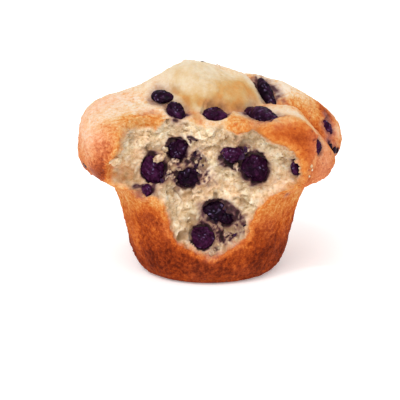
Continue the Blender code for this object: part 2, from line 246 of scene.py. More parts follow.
def addPiece(name, points, triangles, material, attributes):
    # a smooth mesh object at the origin, from points in millimetres and its named point attributes
    mesh = bpy.data.meshes.new(name)
    mesh.vertices.add(len(points))
    mesh.vertices.foreach_set("co", (points * mm).astype(np.float32).ravel())
    mesh.loops.add(triangles.size)
    mesh.loops.foreach_set("vertex_index", triangles.astype(np.int32).ravel())
    mesh.polygons.add(len(triangles))
    mesh.polygons.foreach_set("loop_start", np.arange(0, triangles.size, 3, dtype=np.int32))
    mesh.update(calc_edges=True)
    mesh.validate()
    mesh.shade_smooth()
    for label, values in attributes.items():
        layer = mesh.attributes.new(label, "FLOAT", "POINT")
        layer.data.foreach_set("value", values.astype(np.float32).ravel())
    mesh.materials.append(material)
    piece = bpy.data.objects.new(name, mesh)
    bpy.context.scene.collection.objects.link(piece)
    return piece


muffinSkin = {
    "columns": 340,
    "rows": 290,
    "crowding": 0.5,  # how much closer the columns stand at the broken front than at the back
    "wall": ((20, 0), (24.6, 0.3), (27.2, 2.4), (29.2, 5.8), (31.2, 12), (34, 24), (36.6, 33)),
    "neckRadius": 37.3,
    "neckHeight": 35.6,
    "footShift": (-0.6, -1.0),
    # the cap as (degrees round Z, value), 0 at +X and -90 at the broken front
    "capRadius": (
        (-180, 50.8), (-150, 50.8), (-120, 50.3), (-90, 50), (-50, 50.4), (-30, 49.6), (-15, 49.2),
        (3, 49.4), (18, 54.3), (40, 53.2), (65, 51), (90, 49.5), (135, 49.6),
    ),
    "belly": (
        (-180, 46.6), (-60, 46.1), (-35, 45.7), (-15, 44.3), (-3, 43.4), (10, 46), (20, 47.9), (90, 46.6),
        (140, 46.6),
    ),
    "shoulder": (
        (-180, 4.5), (-150, 4.3), (-120, 3.3), (-90, 2.8), (-62, 4.2), (-45, 5.5), (-30, 4.6), (-18, 3),
        (-6, 2.4), (6, 2.1), (20, 2.35), (60, 2.9), (90, 3.1), (140, 3.4),
    ),
    "capShare": 0.53,  # share of the rows' way up at which the cap starts to round over
    "crownHeight": 65.9,
    # x, y, reach, height
    "crownHills": (
        (-7, 4, 16.5, 8.1), (7, 3, 8, -1.2), (-36, 2, 16, 1.6), (-26, 6, 8, 0.6), (-2, -36, 20, -7),
        (31, -27, 9, 1.8), (33, -5, 8, 2.6), (18, 15, 14.5, 7.4), (38, 9, 13, 3.4), (-8, 18, 13, 2.8),
        (-4, 34, 20, 3),
    ),
    "domeCentre": (-4.0, 1.8),
    "domeReach": (22.0, 14.6),
    "domeRise": 4.6,
    "domeEdge": ((-180, 0.1), (-130, 0.55), (-90, 1), (-40, 1), (10, 1), (45, 0.7), (100, 0.1)),
    "creaseDepth": 1.6,
    "crackY": -1.0,
    "crackStep": 2.4,
    "crackDepth": 3.2,
    "notch": (3.6, 0.0, 5.0),  # depth, degrees and width of the nick where the crack meets the rim
    # flat places of the lobe in front of the crack: degrees round Z, degrees up, distance from the origin
    "facets": ((-68, 30, 63.8), (5, 39.6, 65.9)),
    "facetSoftness": 0.8,
    "crustWaves": (6, 17.0, 0.16),  # how many, the shortest and its height
}

tear = {
    # x and z as seen from the front
    "outline": (
        (1, 10.5), (9.5, 15), (15, 18.5), (15.5, 23.5), (18.2, 29.5), (21.5, 33), (27, 34.8), (32, 35.8),
        (34.8, 39), (35.3, 44), (33.8, 49.5), (31, 53.5), (27.5, 56.2), (22.5, 58), (19.5, 60.5),
        (18.5, 64), (18.5, 85), (-33, 85), (-33, 62), (-34.2, 56), (-36, 52), (-39, 48.5), (-40.5, 44),
        (-40.5, 40), (-38, 36.2), (-30, 35), (-21.5, 34.4), (-18.3, 31.5), (-16.8, 26), (-15.6, 21),
        (-13, 16.5), (-6, 12.8),
    ),
    "faceY": -29.0,
    "faceSteps": ((8, 36, 4.4), (36, 60, 1.4)),  # heights from and to, and how far back it steps
    "hollows": ((-11, 46, 18, 3), (17, 46, 13, 2.2), (3, 29, 11, 2.4)),  # x, z, reach, depth
    "cliffSlope": 3.0,
    "cliffRounding": 1.2,
    "crumbWaves": (9, 5.6, 0.22),
    # width of the golden crust that folds down over the tear's top edge, as (x, width)
    "crustBand": (
        (-36, 4.6), (-30, 5.4), (-25, 6), (-20.5, 5.6), (-17.5, 2), (-15, 0), (4.5, 0), (7, 3.6), (10, 4.4),
        (14, 4), (19, 4.6), (24, 3),
    ),
    # where the crust folds in over the tear's sides: x, z, reach, how far
    "crustFolds": ((-40, 43.5, 6.5, 2.6), (-31, 35.5, 6.5, 2.0), (32, 39, 5.5, 2.0)),
    "goldenCrumb": ((-34, 43, 8, 0.5), (29, 40, 6, 0.3)),  # browner crumb by its edge: x, z, reach, share
    # smaller pits and crags in the crumb: x, z, reach, depth (a crag has a depth below zero)
    "pits": (
        (-30, 57.8, 2, 1.8), (-28.6, 54.6, 2.2, 2), (-15, 48, 3.4, 2.4), (15.5, 53, 4.2, 1.8),
        (-7.6, 26.4, 3, 1.8), (7, 20, 3.4, 2.4), (9.6, 24, 3, 1.4), (-4.2, 45.6, 3, 1.2),
        (-29.6, 43, 3.4, 1.2), (-22, 43.5, 2.6, 1.2), (25.5, 40.8, 3.4, 1.2), (-17, 55.5, 3, 1),
        (11.2, 57.5, 2.4, 1.2), (-7.4, 19.6, 2.2, 1.4), (27.5, 46.5, 2.6, 1.2), (-9.5, 60.5, 1.4, 1.4),
        (-23.5, 56, 5, -1.6), (20.5, 49.6, 4, -1), (14, 59, 2.4, -1.4), (-12.4, 45.6, 2.2, -2.2),
        (-14.2, 39.6, 1.8, -1.8), (11.6, 18, 2.6, -1.4), (-3, 57, 5, -1.2), (-3, 33.8, 5, -0.9),
        (28, 51, 4, -1), (-12.6, 29.5, 3.6, -0.8), (13.6, 36, 5, -0.9), (-17.6, 51, 2, -1.8),
    ),
}


def fromDome(x, y):
    # how far out from the dome's middle, 1 near its edge, and how sharp the edge is on that side
    east = x - muffinSkin["domeCentre"][0]
    north = y - muffinSkin["domeCentre"][1]
    out = np.hypot(east / muffinSkin["domeReach"][0], north / muffinSkin["domeReach"][1])
    return out, roundValue(np.degrees(np.arctan2(north, east)), muffinSkin["domeEdge"])


def fromCrack(x, y):
    # distance past the crack's line towards the back, and how far out towards the right rim
    return y - muffinSkin["crackY"] - 0.1 * (x - 24), ease(20, 30, x)


def crown(x, y):
    # height of the cap's top: a level plus hills, a dome with a creased edge, and the step of the crack
    skin = muffinSkin
    height = skin["crownHeight"] - 0.03 * x + 0.02 * y + hills(x, y, skin["crownHills"])
    out, sharp = fromDome(x, y)
    height = height + skin["domeRise"] * (1 - ease(0.15 + 0.55 * sharp, 1.6 - 0.46 * sharp, out))
    height = height - skin["creaseDepth"] * sharp * bell(out - 1.12, 0.1)
    pastCrack, nearRim = fromCrack(x, y)
    height = height + skin["crackStep"] * nearRim * ease(-1.5, 3.0, pastCrack)
    return height - skin["crackDepth"] * nearRim * bell(pastCrack + 1.0, 1.6)


def lowerSide(degrees, rim, belly):
    # radius and height stations up the wall and round under the cap
    flat = degrees * 0
    neckRadius, neckHeight = muffinSkin["neckRadius"], muffinSkin["neckHeight"]
    stations = [(flat + radius, flat + height) for radius, height in ((0, 0), *muffinSkin["wall"])]
    stations += [
        (flat + neckRadius + 1.9, flat + neckHeight + 0.9),
        (neckRadius + 0.61 * (rim - neckRadius), neckHeight + 0.3 * (belly - neckHeight)),
        (rim - 2.2, belly - 5.0),
        (rim, belly),
        (rim - 0.4, belly + 5.0),
    ]
    return np.array(stations)


def stationShares():
    # share of the way from the base's middle to the top at which each station lies
    stations = lowerSide(np.zeros(1), np.array([50.0]), np.array([46.5]))[:-1, :, 0]
    steps = np.hypot(*np.diff(stations, axis=0).T)
    return muffinSkin["capShare"] * np.append(0, np.cumsum(steps)) / steps.sum()


def beyondFacet(x, y, z, facet):
    # how far a point stands beyond a flat place, n.p - distance, and the outward direction n
    turn, rise = math.radians(facet[0]), math.radians(facet[1])
    outward = (math.cos(turn) * math.cos(rise), math.sin(turn) * math.cos(rise), math.sin(rise))
    return outward[0] * x + outward[1] * y + outward[2] * z - facet[2], outward


def withFacets(x, y, z):
    # the lobe in front of the crack, cut back along n by (over + sqrt(over^2 + softness^2)) / 2
    share = ease(0.5, -2.5, fromCrack(x, y)[0])
    for facet in muffinSkin["facets"]:
        over, outward = beyondFacet(x, y, z, facet)
        cut = share * (over + np.hypot(over, muffinSkin["facetSoftness"])) / 2
        x, y, z = x - outward[0] * cut, y - outward[1] * cut, z - outward[2] * cut
    return x, y, z


def wholeSkin(angles, shares):
    # X, Y and Z of the unbroken skin: splined stations below the belly and, above it, a
    # superellipse with radius rim*cos/q and height belly + (crown - belly)*sin/q
    degrees = np.degrees(angles)
    depth, place, width = muffinSkin["notch"]
    fromNotch = np.mod(degrees - place + 180, 360) - 180
    rim = roundValue(degrees, muffinSkin["capRadius"]) - depth * bell(fromNotch, width)
    belly = roundValue(degrees, muffinSkin["belly"])
    power = roundValue(degrees, muffinSkin["shoulder"])
    known = stationShares()
    stations = lowerSide(degrees, rim, belly)
    index = np.clip(np.searchsorted(known, shares, side="right") - 1, 0, len(known) - 2)
    share = ((shares - known[index]) / (known[index + 1] - known[index])).reshape(-1, 1)
    around = [stations[np.maximum(index + step, 0)] for step in (-1, 0, 1, 2)]
    radius = spline(*[station[:, 0] for station in around], share)
    height = spline(*[station[:, 1] for station in around], share)
    height = np.maximum(np.where(shares[:, None] <= known[1], 0, height), 0)
    capShare = muffinSkin["capShare"]
    lift = np.clip((shares - capShare) / (1 - capShare), 0, 1)[:, None] * math.pi / 2
    rounding = (np.cos(lift) ** power + np.sin(lift) ** power) ** (1 / power)
    onCap = (shares >= capShare)[:, None]
    radius = np.where(onCap, rim * np.cos(lift) / rounding, radius)
    x = radius * np.cos(angles)
    y = radius * np.sin(angles)
    height = np.where(onCap, belly + (crown(x, y) - belly) * np.sin(lift) / rounding, height)
    swell = 1 + waves(x + 0.6 * height, y - 0.5 * height, muffinSkin["crustWaves"]) / 50 * ease(0, 8, height)
    x = x * swell + muffinSkin["footShift"][0] * ease(46, 32, height)
    y = y * swell + muffinSkin["footShift"][1] * ease(34, 0, height)
    return withFacets(x, y, height)


def insideTear(x, z):
    # distance inside the tear's outline as seen from the front, below zero outside
    corners = np.array(tear["outline"], float)
    nearest = np.full(x.shape, np.inf)
    inside = np.zeros(x.shape, bool)
    for (startX, startZ), (endX, endZ) in zip(corners, np.roll(corners, -1, axis=0)):
        run, rise = endX - startX, endZ - startZ
        share = np.clip(((x - startX) * run + (z - startZ) * rise) / (run**2 + rise**2), 0, 1)
        nearest = np.minimum(nearest, np.hypot(x - startX - share * run, z - startZ - share * rise))
        if rise:
            inside ^= ((startZ > z) != (endZ > z)) & (x < startX + run * (z - startZ) / rise)
    return np.where(inside, nearest, -nearest)


def tornFace(x, z):
    # Y of the torn face: a level with steps and round hollows, nearer at both sides and further by the top
    aside = np.abs(x)
    y = stepped(z, tear["faceY"], tear["faceSteps"]) + hills(x, z, tear["hollows"])
    y = y - 4.0 * ease(22, 40, aside) - 4.0 * ease(9, 22, aside) * ease(44, 34, z)
    return y + 9.0 * ease(59, 71, z) * ease(-20, -13, x) * ease(12, 5, x)


def tearFront(x, y, z):
    # how far each point is pushed back to the torn face, less where the steep edge of the tear is
    signed = insideTear(x, z)
    inside = np.maximum(signed, 0)
    target = tornFace(x, z) + ease(0, 4, inside) * waves(x, z, tear["crumbWaves"])
    wanted = np.maximum(target + ease(0, 3, inside) * hills(x, z, tear["pits"]) - y, 0)
    rounding = tear["cliffRounding"]
    slope = tear["cliffSlope"] + 0.12 * np.maximum(z - muffinSkin["neckHeight"], 0)
    allowed = (np.hypot(inside, rounding) - rounding) * slope
    blend = np.clip(0.5 + 0.5 * (allowed - wanted) / rounding, 0, 1)
    depth = allowed + (wanted - allowed) * blend - rounding * blend * (1 - blend)
    depth = np.where((y < 0) & (inside > 0), np.maximum(depth, 0), 0)
    return evened(depth, 4), signed


def crustBandWidth(x):
    # the crust band's width, in straight stretches from one listed place to the next
    places, widths = zip(*tear["crustBand"])
    return np.interp(x, places, widths)


def gridNormals(points):
    # outward direction on a grid that closes round: the step round crossed with the step up
    stepRound = np.roll(points, -1, axis=1) - np.roll(points, 1, axis=1)
    normals = np.cross(stepRound, np.gradient(points, axis=0))
    return normals / np.maximum(np.linalg.norm(normals, axis=-1, keepdims=True), 1e-9)


# small corrections to single berries: growth along the long and the short side, then a shift in X, Y and Z
berryFits = {
    "berry_face_right": (0.85, 0.88, -0.5, 0, 0.4),
    "berry_face_low_middle": (1, 1, 0.3, 0, -0.9),
    "berry_face_upper_left": (0.92, 0.94, -0.6, 0, 0),
    "berry_face_upper_right": (1.02, 1, 1.1, 0, 0.2),
    "berry_top_left": (1.12, 0.66, 0, 0, 0.7),
    "berry_top_middle_left": (1.14, 1.12, 0.2, 0.4, 0.8),
    "berry_top_middle": (1, 1.2, 0.2, 0.8, 1),
    "berry_top_right": (1, 1, 0.8, 0.4, 0.4),
    "berry_top_rear_right": (1.1, 1.25, 0.6, 0.8, 0.5),
}


def berryPlaces():
    # for each berry: middle, three axes (the last one outwards) and half sizes, from its solid's points
    places = {}
    core = np.array([0.0, 8.0, 36.0])
    for name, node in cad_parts.items():
        if not name.startswith("berry"):
            continue
        points = np.empty(3 * len(node.data.vertices), np.float32)
        node.data.vertices.foreach_get("co", points)
        points = np.unique(np.round(points.reshape(-1, 3) / mm, 4), axis=0)
        middle = points.mean(axis=0)
        axes = np.linalg.svd(points - middle, full_matrices=False)[2]
        if axes[2] @ (middle - core) < 0:
            axes[2] = -axes[2]
        axes[0] = np.cross(axes[1], axes[2])
        half = np.abs((points - middle) @ axes.T).max(axis=0)
        growLong, growShort, *shift = berryFits.get(name, (1, 1, 0, 0, 0))
        places[name] = (middle + np.array(shift), axes, half * np.array([growLong, growShort, 1]))
    return places


berries = berryPlaces()
print(f"read {len(berries)} berry places")

# a berry's bed; places and widths are shares of the berry's half size
berryBed = {
    "under": 1.3,  # how far the crumb sinks under a berry
    "reach": 2.5,  # how far above and below a berry its bed still counts
    "gap": (1.04, 0.13, 0.8),  # the dark gap round it: place, width and depth
    "rim": (1.32, 0.16, -0.4),  # the raised rim round that
    "wobble": (3.1, 0.08),
    "spill": (2.4, 0.16),
    "stain": ((0.70, 0.13), (0.36, 0.42)),  # strength and reach of the juice, close by and further out
    "shadeReach": 0.42,
}


def berryBeds(points):
    # how deep the skin sinks round each berry, and how much juice stains and shade darkens it there
    bed = berryBed
    sink, stain, shade = np.zeros((3, *points.shape[:-1]))
    wobble = ripple(points, bed["wobble"], 5)
    spill = ripple(points, bed["spill"], 8)
    for middle, axes, half in berries.values():
        local = (points - middle) @ axes.T
        out = np.hypot(local[..., 0] / half[0], local[..., 1] / half[1]) + wobble
        near = np.exp(-((local[..., 2] / (half[2] + bed["reach"])) ** 4))
        rings = sum(depth * bell(out - place, width) for place, width, depth in (bed["gap"], bed["rim"]))
        sink = sink + near * (bed["under"] * (1 - ease(0.7, 0.98, out)) + rings)
        beyond = np.maximum(out + spill - 1, 0)
        juice = sum(strength * bell(beyond, reach) for strength, reach in bed["stain"])
        stain = np.maximum(stain, near * juice)
        shade = np.maximum(shade, near * bell(beyond, bed["shadeReach"]))
    return sink, stain, shade


crustFinish = {
    "lump": (6.5, 0.22),  # spacing and height
    "grain": (0.95, 0.15),
    "dimple": (1.9, 0.60),
    "crackle": (3.6, 0.30),
    "wallStreak": (1.3, 0.26),
    "domeLump": (4.4, 0.9),
    "domeCurd": (2.4, 0.6),
    "wallPit": (2.6, 0.55, 0.5, 0.08, 0.36),  # spacing, depth, share of the cells, core and edge
    "fleck": (2.3, 0.30, 0.3, 0.06, 0.34),
}
crumbFinish = {
    "bend": (4.0, 1.5),  # spacing and size of the bends that break up the lumps' rows
    "clump": (5.4, 2.0),
    "bubble": (3.0, 1.9),
    "curd": (1.25, 0.75),
    "grain": (0.7, 0.24),
    "hole": (4.2, 1.5, 0.25, 0.05, 0.34),
    "pore": (1.7, 0.6, 0.3, 0.08, 0.36),
    "broadSpacing": 3.6,  # wide shallow dips and their depth
    "broadDepth": 0.8,
    "patchSpacing": 7.0,  # how far apart the places with painted shade in the seams lie
}


def crustRelief(points, at):
    # lumps and dimples, upright streaks and pits on the wall, crackle on the pale top, curds on the
    # dome, +|noise|; also how dark the pits, flecks and crackle are, and the flecks alone
    finish = crustFinish
    offDome = 1 - at.dome
    relief = ripple(points, finish["lump"], 1) + ripple(points, finish["grain"], 3) * offDome
    relief = relief + ripple(points * np.array([1, 1, 0.3]), finish["wallStreak"], 4) * at.wall
    spacing, depth = finish["dimple"]
    dimple = 0.5 - cells(shaken(points, 0.5, 1.7, 18), spacing, 2)[0]
    relief = relief - depth * dimple * (1 - 0.45 * at.top) * (1 - 0.8 * at.dome)
    pit = pits(points * np.array([1, 1, 0.7]), finish["wallPit"], 5) * at.wall
    spacing, depth = finish["crackle"]
    nearest, second, _ = cells(shaken(points, 1.2, 3.0, 6), spacing, 7)
    crackle = (1 - ease(0, 0.14, second - nearest)) * at.cracked * offDome
    bent = shaken(points, 0.9, 1.6, 25) + points * np.array([0, 0, 0.6])
    fleck = pits(bent, finish["fleck"], 19) * (1 - at.wall) * offDome
    relief = relief - finish["wallPit"][1] * pit - depth * crackle - finish["fleck"][1] * fleck
    curds = np.abs(ripple(points, finish["domeLump"], 16)) + np.abs(ripple(points, finish["domeCurd"], 17))
    dark = np.maximum(np.maximum(pit, 2.2 * fleck), 0.9 * crackle)
    return relief + at.dome * curds, dark, fleck


def crumbRelief(points):
    # rounded clumps, 0.4 - distance^2 over the nearest spot, in which burst bubbles leave hollows with
    # sharp walls, -|noise|, and curds stand up, +|noise|; also how deep in a hollow each point lies, which
    # the crumb shows as painted shade
    finish = crumbFinish
    spacing, reach = finish["bend"]
    bent = points + reach * np.stack([softNoise(points, spacing, seed) for seed in (60, 61, 62)], axis=-1)
    spacing, height = finish["clump"]
    nearest, second, _ = cells(bent, spacing, 10)
    bubble = np.abs(softNoise(bent, finish["bubble"][0], 11))
    curd = np.abs(softNoise(bent, finish["curd"][0], 15))
    hole = pits(bent, finish["hole"], 13)
    pore = pits(bent, finish["pore"], 14)
    broad = ease(0.05, 0.6, softNoise(bent, finish["broadSpacing"], 64))
    patchy = ease(-0.5, 0.4, softNoise(points, finish["patchSpacing"], 63))
    relief = height * (0.4 - nearest**2) - finish["bubble"][1] * bubble + finish["curd"][1] * curd
    relief = relief + ripple(points, finish["grain"], 12) - finish["broadDepth"] * broad
    relief = relief - finish["hole"][1] * hole - finish["pore"][1] * pore
    # painted shade in the seams between clumps, in burst bubbles, holes, pores and wide dips
    seams = 0.42 * (1 - ease(0, 0.2, second - nearest)) + 0.2 * (1 - ease(0, 0.16, curd))
    hollowShade = patchy * seams + 0.55 * ease(0.35, 0.85, bubble)
    return relief, np.clip(hollowShade + 0.5 * hole + 0.5 * pore + 0.3 * broad, 0, 1)


# bake tone and pinkness on the crust, the spots that pale the wall's left side being painted light:
# (x, y, z, reach, tone, pink)
crustTintsAndLight = (
    (-43, -25, 56, 9, -0.02, 0.62), (-42, -4, 65, 12, 0.12, 0.65), (-37, -31, 56, 7, 0.26, 0),
    (-38.5, -29, 45, 5.5, 0.42, -0.1), (-44, -22, 41, 6, 0.24, 0.4), (-49, -10, 55, 9, 0, 0.5),
    (-27, -5, 70, 9, -0.02, 0.1), (-24, -18, 65, 5, 0.04, 0.3), (14, 6, 73.5, 3, -0.06, 0.6),
    (19, 4, 69, 3, -0.16, 0), (29, 7, 69, 5, -0.24, 0.3), (31, 2, 65, 7, 0.22, -0.3),
    (42, 2, 58, 7, 0.14, -0.3), (46, 10, 57, 4, 0.6, 0), (44, 13, 62, 4, 0.4, 0), (47, 6, 52, 3, 0.4, 0.1),
    (51, 9, 52, 4, -0.22, 0.8), (27, -22, 64, 7, 0.14, 0), (34, -8, 62, 6, 0.16, 0.1),
    (42, -8, 52, 6, 0.12, 0.4), (41, -24, 46, 8, 0.06, 0.8), (34, -33, 44, 5, 0.12, 0.1),
    (-30, -22, 63, 4, 0.04, -0.3), (-22, -21, 62, 4, 0.1, -0.3), (12, -21, 63, 5, 0.12, -0.3),
    (-21, -19, 65, 3, 0.06, 0.5), (48, 2, 46, 4, 0.3, 0), (28, -28, 61, 4, 0.1, 0),
    (-22, -25, 28.5, 6, 0.2, 0), (13.5, -27.5, 14.5, 2.6, -0.3, 0), (-31, -8, 16, 8, -0.18, 0),
    (-33, -10, 26, 7, -0.06, 0), (-26, -14, 8, 7, -0.14, 0), (-48, -18, 52, 7, -0.12, 0.25),
    (-27.5, -17, 15, 6, -0.16, 0), (28.5, -17, 20, 5, -0.12, 0), (9, -29.5, 9, 5, -0.1, 0),
    (23, -4, 66, 3.4, 0.22, 0.3), (31, -14, 61.5, 5, -0.14, 0), (17, -21, 61.5, 3, -0.16, 0),
    (18, -7, 66, 3.2, 0.34, 0), (-8, -17, 65, 3, 0.14, 0), (41, 7, 63.5, 3.5, 0.16, 0),
)
# colour of the dome, duller and more olive than the rest, with some spots of painted shade on its lower
# edge and on its side by the right berries: (x, y, z, reach, tone)
domeTintsAndShade = (
    (-12.3, -3, 77.7, 3, 0.34), (-15, 1, 77, 2.4, 0.16), (-7, -5.5, 76, 3.4, 0.2), (3, -7, 73.5, 5, 0.26),
    (9, -7, 71, 5, 0.24), (5, -11.5, 68, 4, 0.36), (11, -9, 67, 4, 0.3), (9.5, -2.5, 73.4, 5, 0.44),
    (15, -1, 70, 3.4, 0.44), (-6, -11, 71, 3.4, 0.16), (-3, -12, 69, 4.5, 0.18),
    (15.5, -4, 67.5, 3.4, 0.45), (12, 1, 73.5, 3, 0.22), (1, -11, 69.5, 2.6, 0.2),
    (-8.5, -13, 68, 3.4, 0.2), (-13, -8, 72.6, 2.6, 0.2),
)
# crags that stand up from the crust: (x, y, z, reach, height)
crags = ((-23, -0.5, 74, 2.2, 1.6), (-25.6, -1.5, 72.4, 1.6, 0.9), (-20.5, 1, 75.4, 1.6, 0.8))
# juice on the crumb and the crust, some spots also painted shade between the berries:
# (x, y, z, reach, strength)
juiceAndShadeStains = (
    (-14.6, -21.5, 48, 3.4, 0.3), (-5.4, -21, 49, 3, 0.66), (-4.6, -21.5, 46.2, 2.8, 0.8),
    (-1.4, -22.5, 42, 3.6, 0.5), (9.8, -24.6, 23.4, 3.4, 1), (8.4, -26.2, 20.2, 2.2, 0.7),
    (11.8, -25, 26, 2.4, 0.55), (0.2, -29.6, 13.4, 2.6, 0.34), (23, -24, 41, 3, 0.2),
    (12.4, -22, 48.4, 2.8, 0.9), (-7, -21, 55.4, 1.1, 0.9), (-21.6, -18, 65.4, 2.2, 0.26),
    (-26, -20, 64.6, 1.8, 0.22), (18.6, 11.6, 71.5, 3, 0.75), (45.2, 8.6, 57.3, 1.8, 0.6),
    (47.1, 6.3, 52.6, 2.2, 0.55), (48.3, 5, 44.6, 2.6, 1.1), (46, 2.4, 48.6, 1.8, 0.7),
    (47.6, 14.7, 56.8, 1.2, 0.9), (-44.7, -18, 41.9, 3.4, 0.34), (38.6, -21, 56.6, 2.6, 0.36),
    (28.8, -23.2, 34.3, 1.3, 0.6), (-9, -24, 34.5, 2.6, 0.2), (14, -12, 65.4, 3, 0.4),
    (-31.9, -26.4, 44, 1.2, 0.5), (-27.6, -26, 43, 1.2, 0.4), (-2, -20.5, 47, 1.6, 0.3),
    (-2.1, -22.6, 40, 2.8, 0.5), (-0.4, -22.6, 38.4, 1.4, 0.4), (3.4, -27, 18.6, 3, 0.36),
    (10.4, -21.5, 54, 2.6, 0.3), (-16.2, -22, 43, 2.8, 0.75), (-16.4, -22, 47.4, 2.6, 0.6),
    (7.8, -27, 19, 2.8, 0.3), (3.4, -27, 20.4, 2.2, 0.3), (-19, -23, 41.4, 2.4, 0.5),
    (-24.6, -24, 50.6, 2, 0.3), (5, -26, 17.6, 2.6, 0.5), (12.6, -21.6, 52.4, 2.4, 0.5),
    (9, -22.4, 44.4, 2.2, 0.55), (-14, -21, 55.4, 2.2, 0.35), (16.5, -6, 66.5, 3, 0.35),
    (22, -5, 66, 2.6, 0.3), (-8.9, -21.5, 47.2, 2.4, 0.95), (-3.2, -25, 24.2, 3.2, 0.65),
    (1.5, -26, 24, 2.4, 0.6), (4.5, -27, 20.5, 3, 0.65), (-12.6, -22, 41, 2.4, 0.55),
    (-12.6, -22, 36, 2.4, 0.4), (2.3, -28.6, 14.6, 2.6, 0.3), (13.6, -26, 20.8, 2.2, 0.3),
)
# shaded hollows in the crumb: (x, y, z, reach, strength)
crumbShade = (
    (-13.6, -21.5, 47.5, 4, 0.75), (-10, -21.5, 44.5, 3, 0.5), (-22, -22.5, 42, 2.4, 0.5),
    (-29.4, -25, 57.2, 2, 0.6), (-32, -26, 44, 3.2, 0.35), (-27, -26, 42, 2.6, 0.3),
    (10.4, -24.6, 24, 3.6, 0.8), (6.4, -26, 20.6, 2.8, 0.7), (-7.4, -26, 20, 2.4, 0.55),
    (-16.2, -22, 41.4, 3.4, 1.2), (-16, -22, 47.6, 3, 1.1), (-7, -25, 24.6, 3.2, 1.2),
    (2.6, -27, 20, 3.2, 1.2), (6.4, -27, 17.6, 3.2, 0.9), (-16, -22, 35.6, 3.2, 0.8),
    (10.4, -21.5, 54.6, 3.4, 0.8), (5, -21.5, 57.6, 3.4, 0.5), (-29.6, -26, 43, 5.4, 0.5),
    (-1, -26, 24.4, 3, 1), (20.5, -24, 41, 3.4, 0.9), (15.6, -21, 55, 3, 0.8), (11.4, -26, 20.6, 2.8, 0.8),
    (20, -24, 35.6, 3, 0.5), (-12, -25, 20, 3.4, 0.5), (-13.6, -24, 26, 3, 0.3),
    (-7, -24.5, 26.4, 2.2, 0.5), (1, -29, 15, 2.4, 0.3), (-9, -24, 37, 3, 0.35),
    (-9.4, -19.5, 61, 1.4, 0.35), (-34, -27, 40.5, 4, 0.35), (-20, -22, 52.6, 2.4, 0.7),
    (2.3, -22.6, 43.1, 2.6, 0.35), (-14, -21, 58.5, 3, 0.8), (2.5, -21, 58.5, 3, 0.7),
    (12, -22, 38.6, 3.4, 0.55),
)
# creases in the crust: width, depth and tone, the tone being painted shade along the crease, then the
# path they follow
creases = (
    ((1.3, 1.1, 0.44), ((-14.5, -8, 72.2), (-8.8, -12.6, 68.1), (-5.8, -16.9, 64), (-3.9, -19.9, 61.6))),
    ((0.9, 0.7, 0.2), ((-25.6, -21, 64.5), (-22.6, -18.5, 65.1), (-19.6, -18, 65.4))),
    ((0.8, 0.6, 0.16), ((-33, -21, 63.5), (-30, -19.6, 64.6))),
    ((0.8, 0.6, 0.12), ((-30.4, -8, 67.4), (-28, -10.5, 67.6), (-27, -13, 67))),
    ((0.9, 0.6, 0.14), ((2, -12, 69), (4.5, -9, 71.6), (9, -8.4, 70.6), (12.4, -8.8, 67.4))),
    ((1.9, 0.8, 0.58), ((-3.5, -13.4, 67.4), (1.7, -13.4, 66.4), (7, -12.6, 66), (12.4, -10.4, 65.6))),
)
# thin trails of juice in the crumb, seen from the front: width and strength, then their path in x and z
juiceTrails = (
    ((0.5, 0.42), ((-3.4, 44.2), (-1.6, 42.6), (0, 41), (1.4, 39.4), (2.6, 37.8))),
    ((0.5, 0.4), ((-1.8, 44), (-0.6, 42.8))), ((0.7, 1), ((-8.2, 56.4), (-6.8, 56), (-5.2, 55))),
    ((0.45, 0.9), ((-7.4, 56), (-7.6, 54.2))), ((0.8, 0.6), ((-6.6, 50.8), (-4.6, 50.2), (-3, 48.4))),
    ((0.8, 0.6), ((-6.6, 46.8), (-4.6, 45), (-3.4, 43.8))),
    ((0.7, 0.5), ((-7.4, 49), (-5.4, 47.6), (-3.2, 47.4))),
)

# bake tones from 0, cream, to 1, dark brown: a level, then changes up the height as (from, to, change)
bakeTones = {
    "wall": (0.69, ((24, 9, 0.21), (7, 2, -0.07), (21, 33, -0.27))),
    "cap": (0.56, ((40, 50, -0.1), (50, 62, -0.24))),
    "flank": (0.87, ((60, 52, -0.1),)),
    "flankHills": ((36, 43, 5, 0.08), (37, 57, 5.5, -0.14)),  # x, z, reach, tone
    "edge": (0.37, ((35, 30, 0.05), (22, 14, 0.12))),  # the golden edge round the tear
    "edgeHills": ((-21, 60, 4, 0.08),),
    # painted shade in the crease round the dome's edge
    "crease": 0.26,
    "crack": 0.2,
    "dome": 0.06,
}


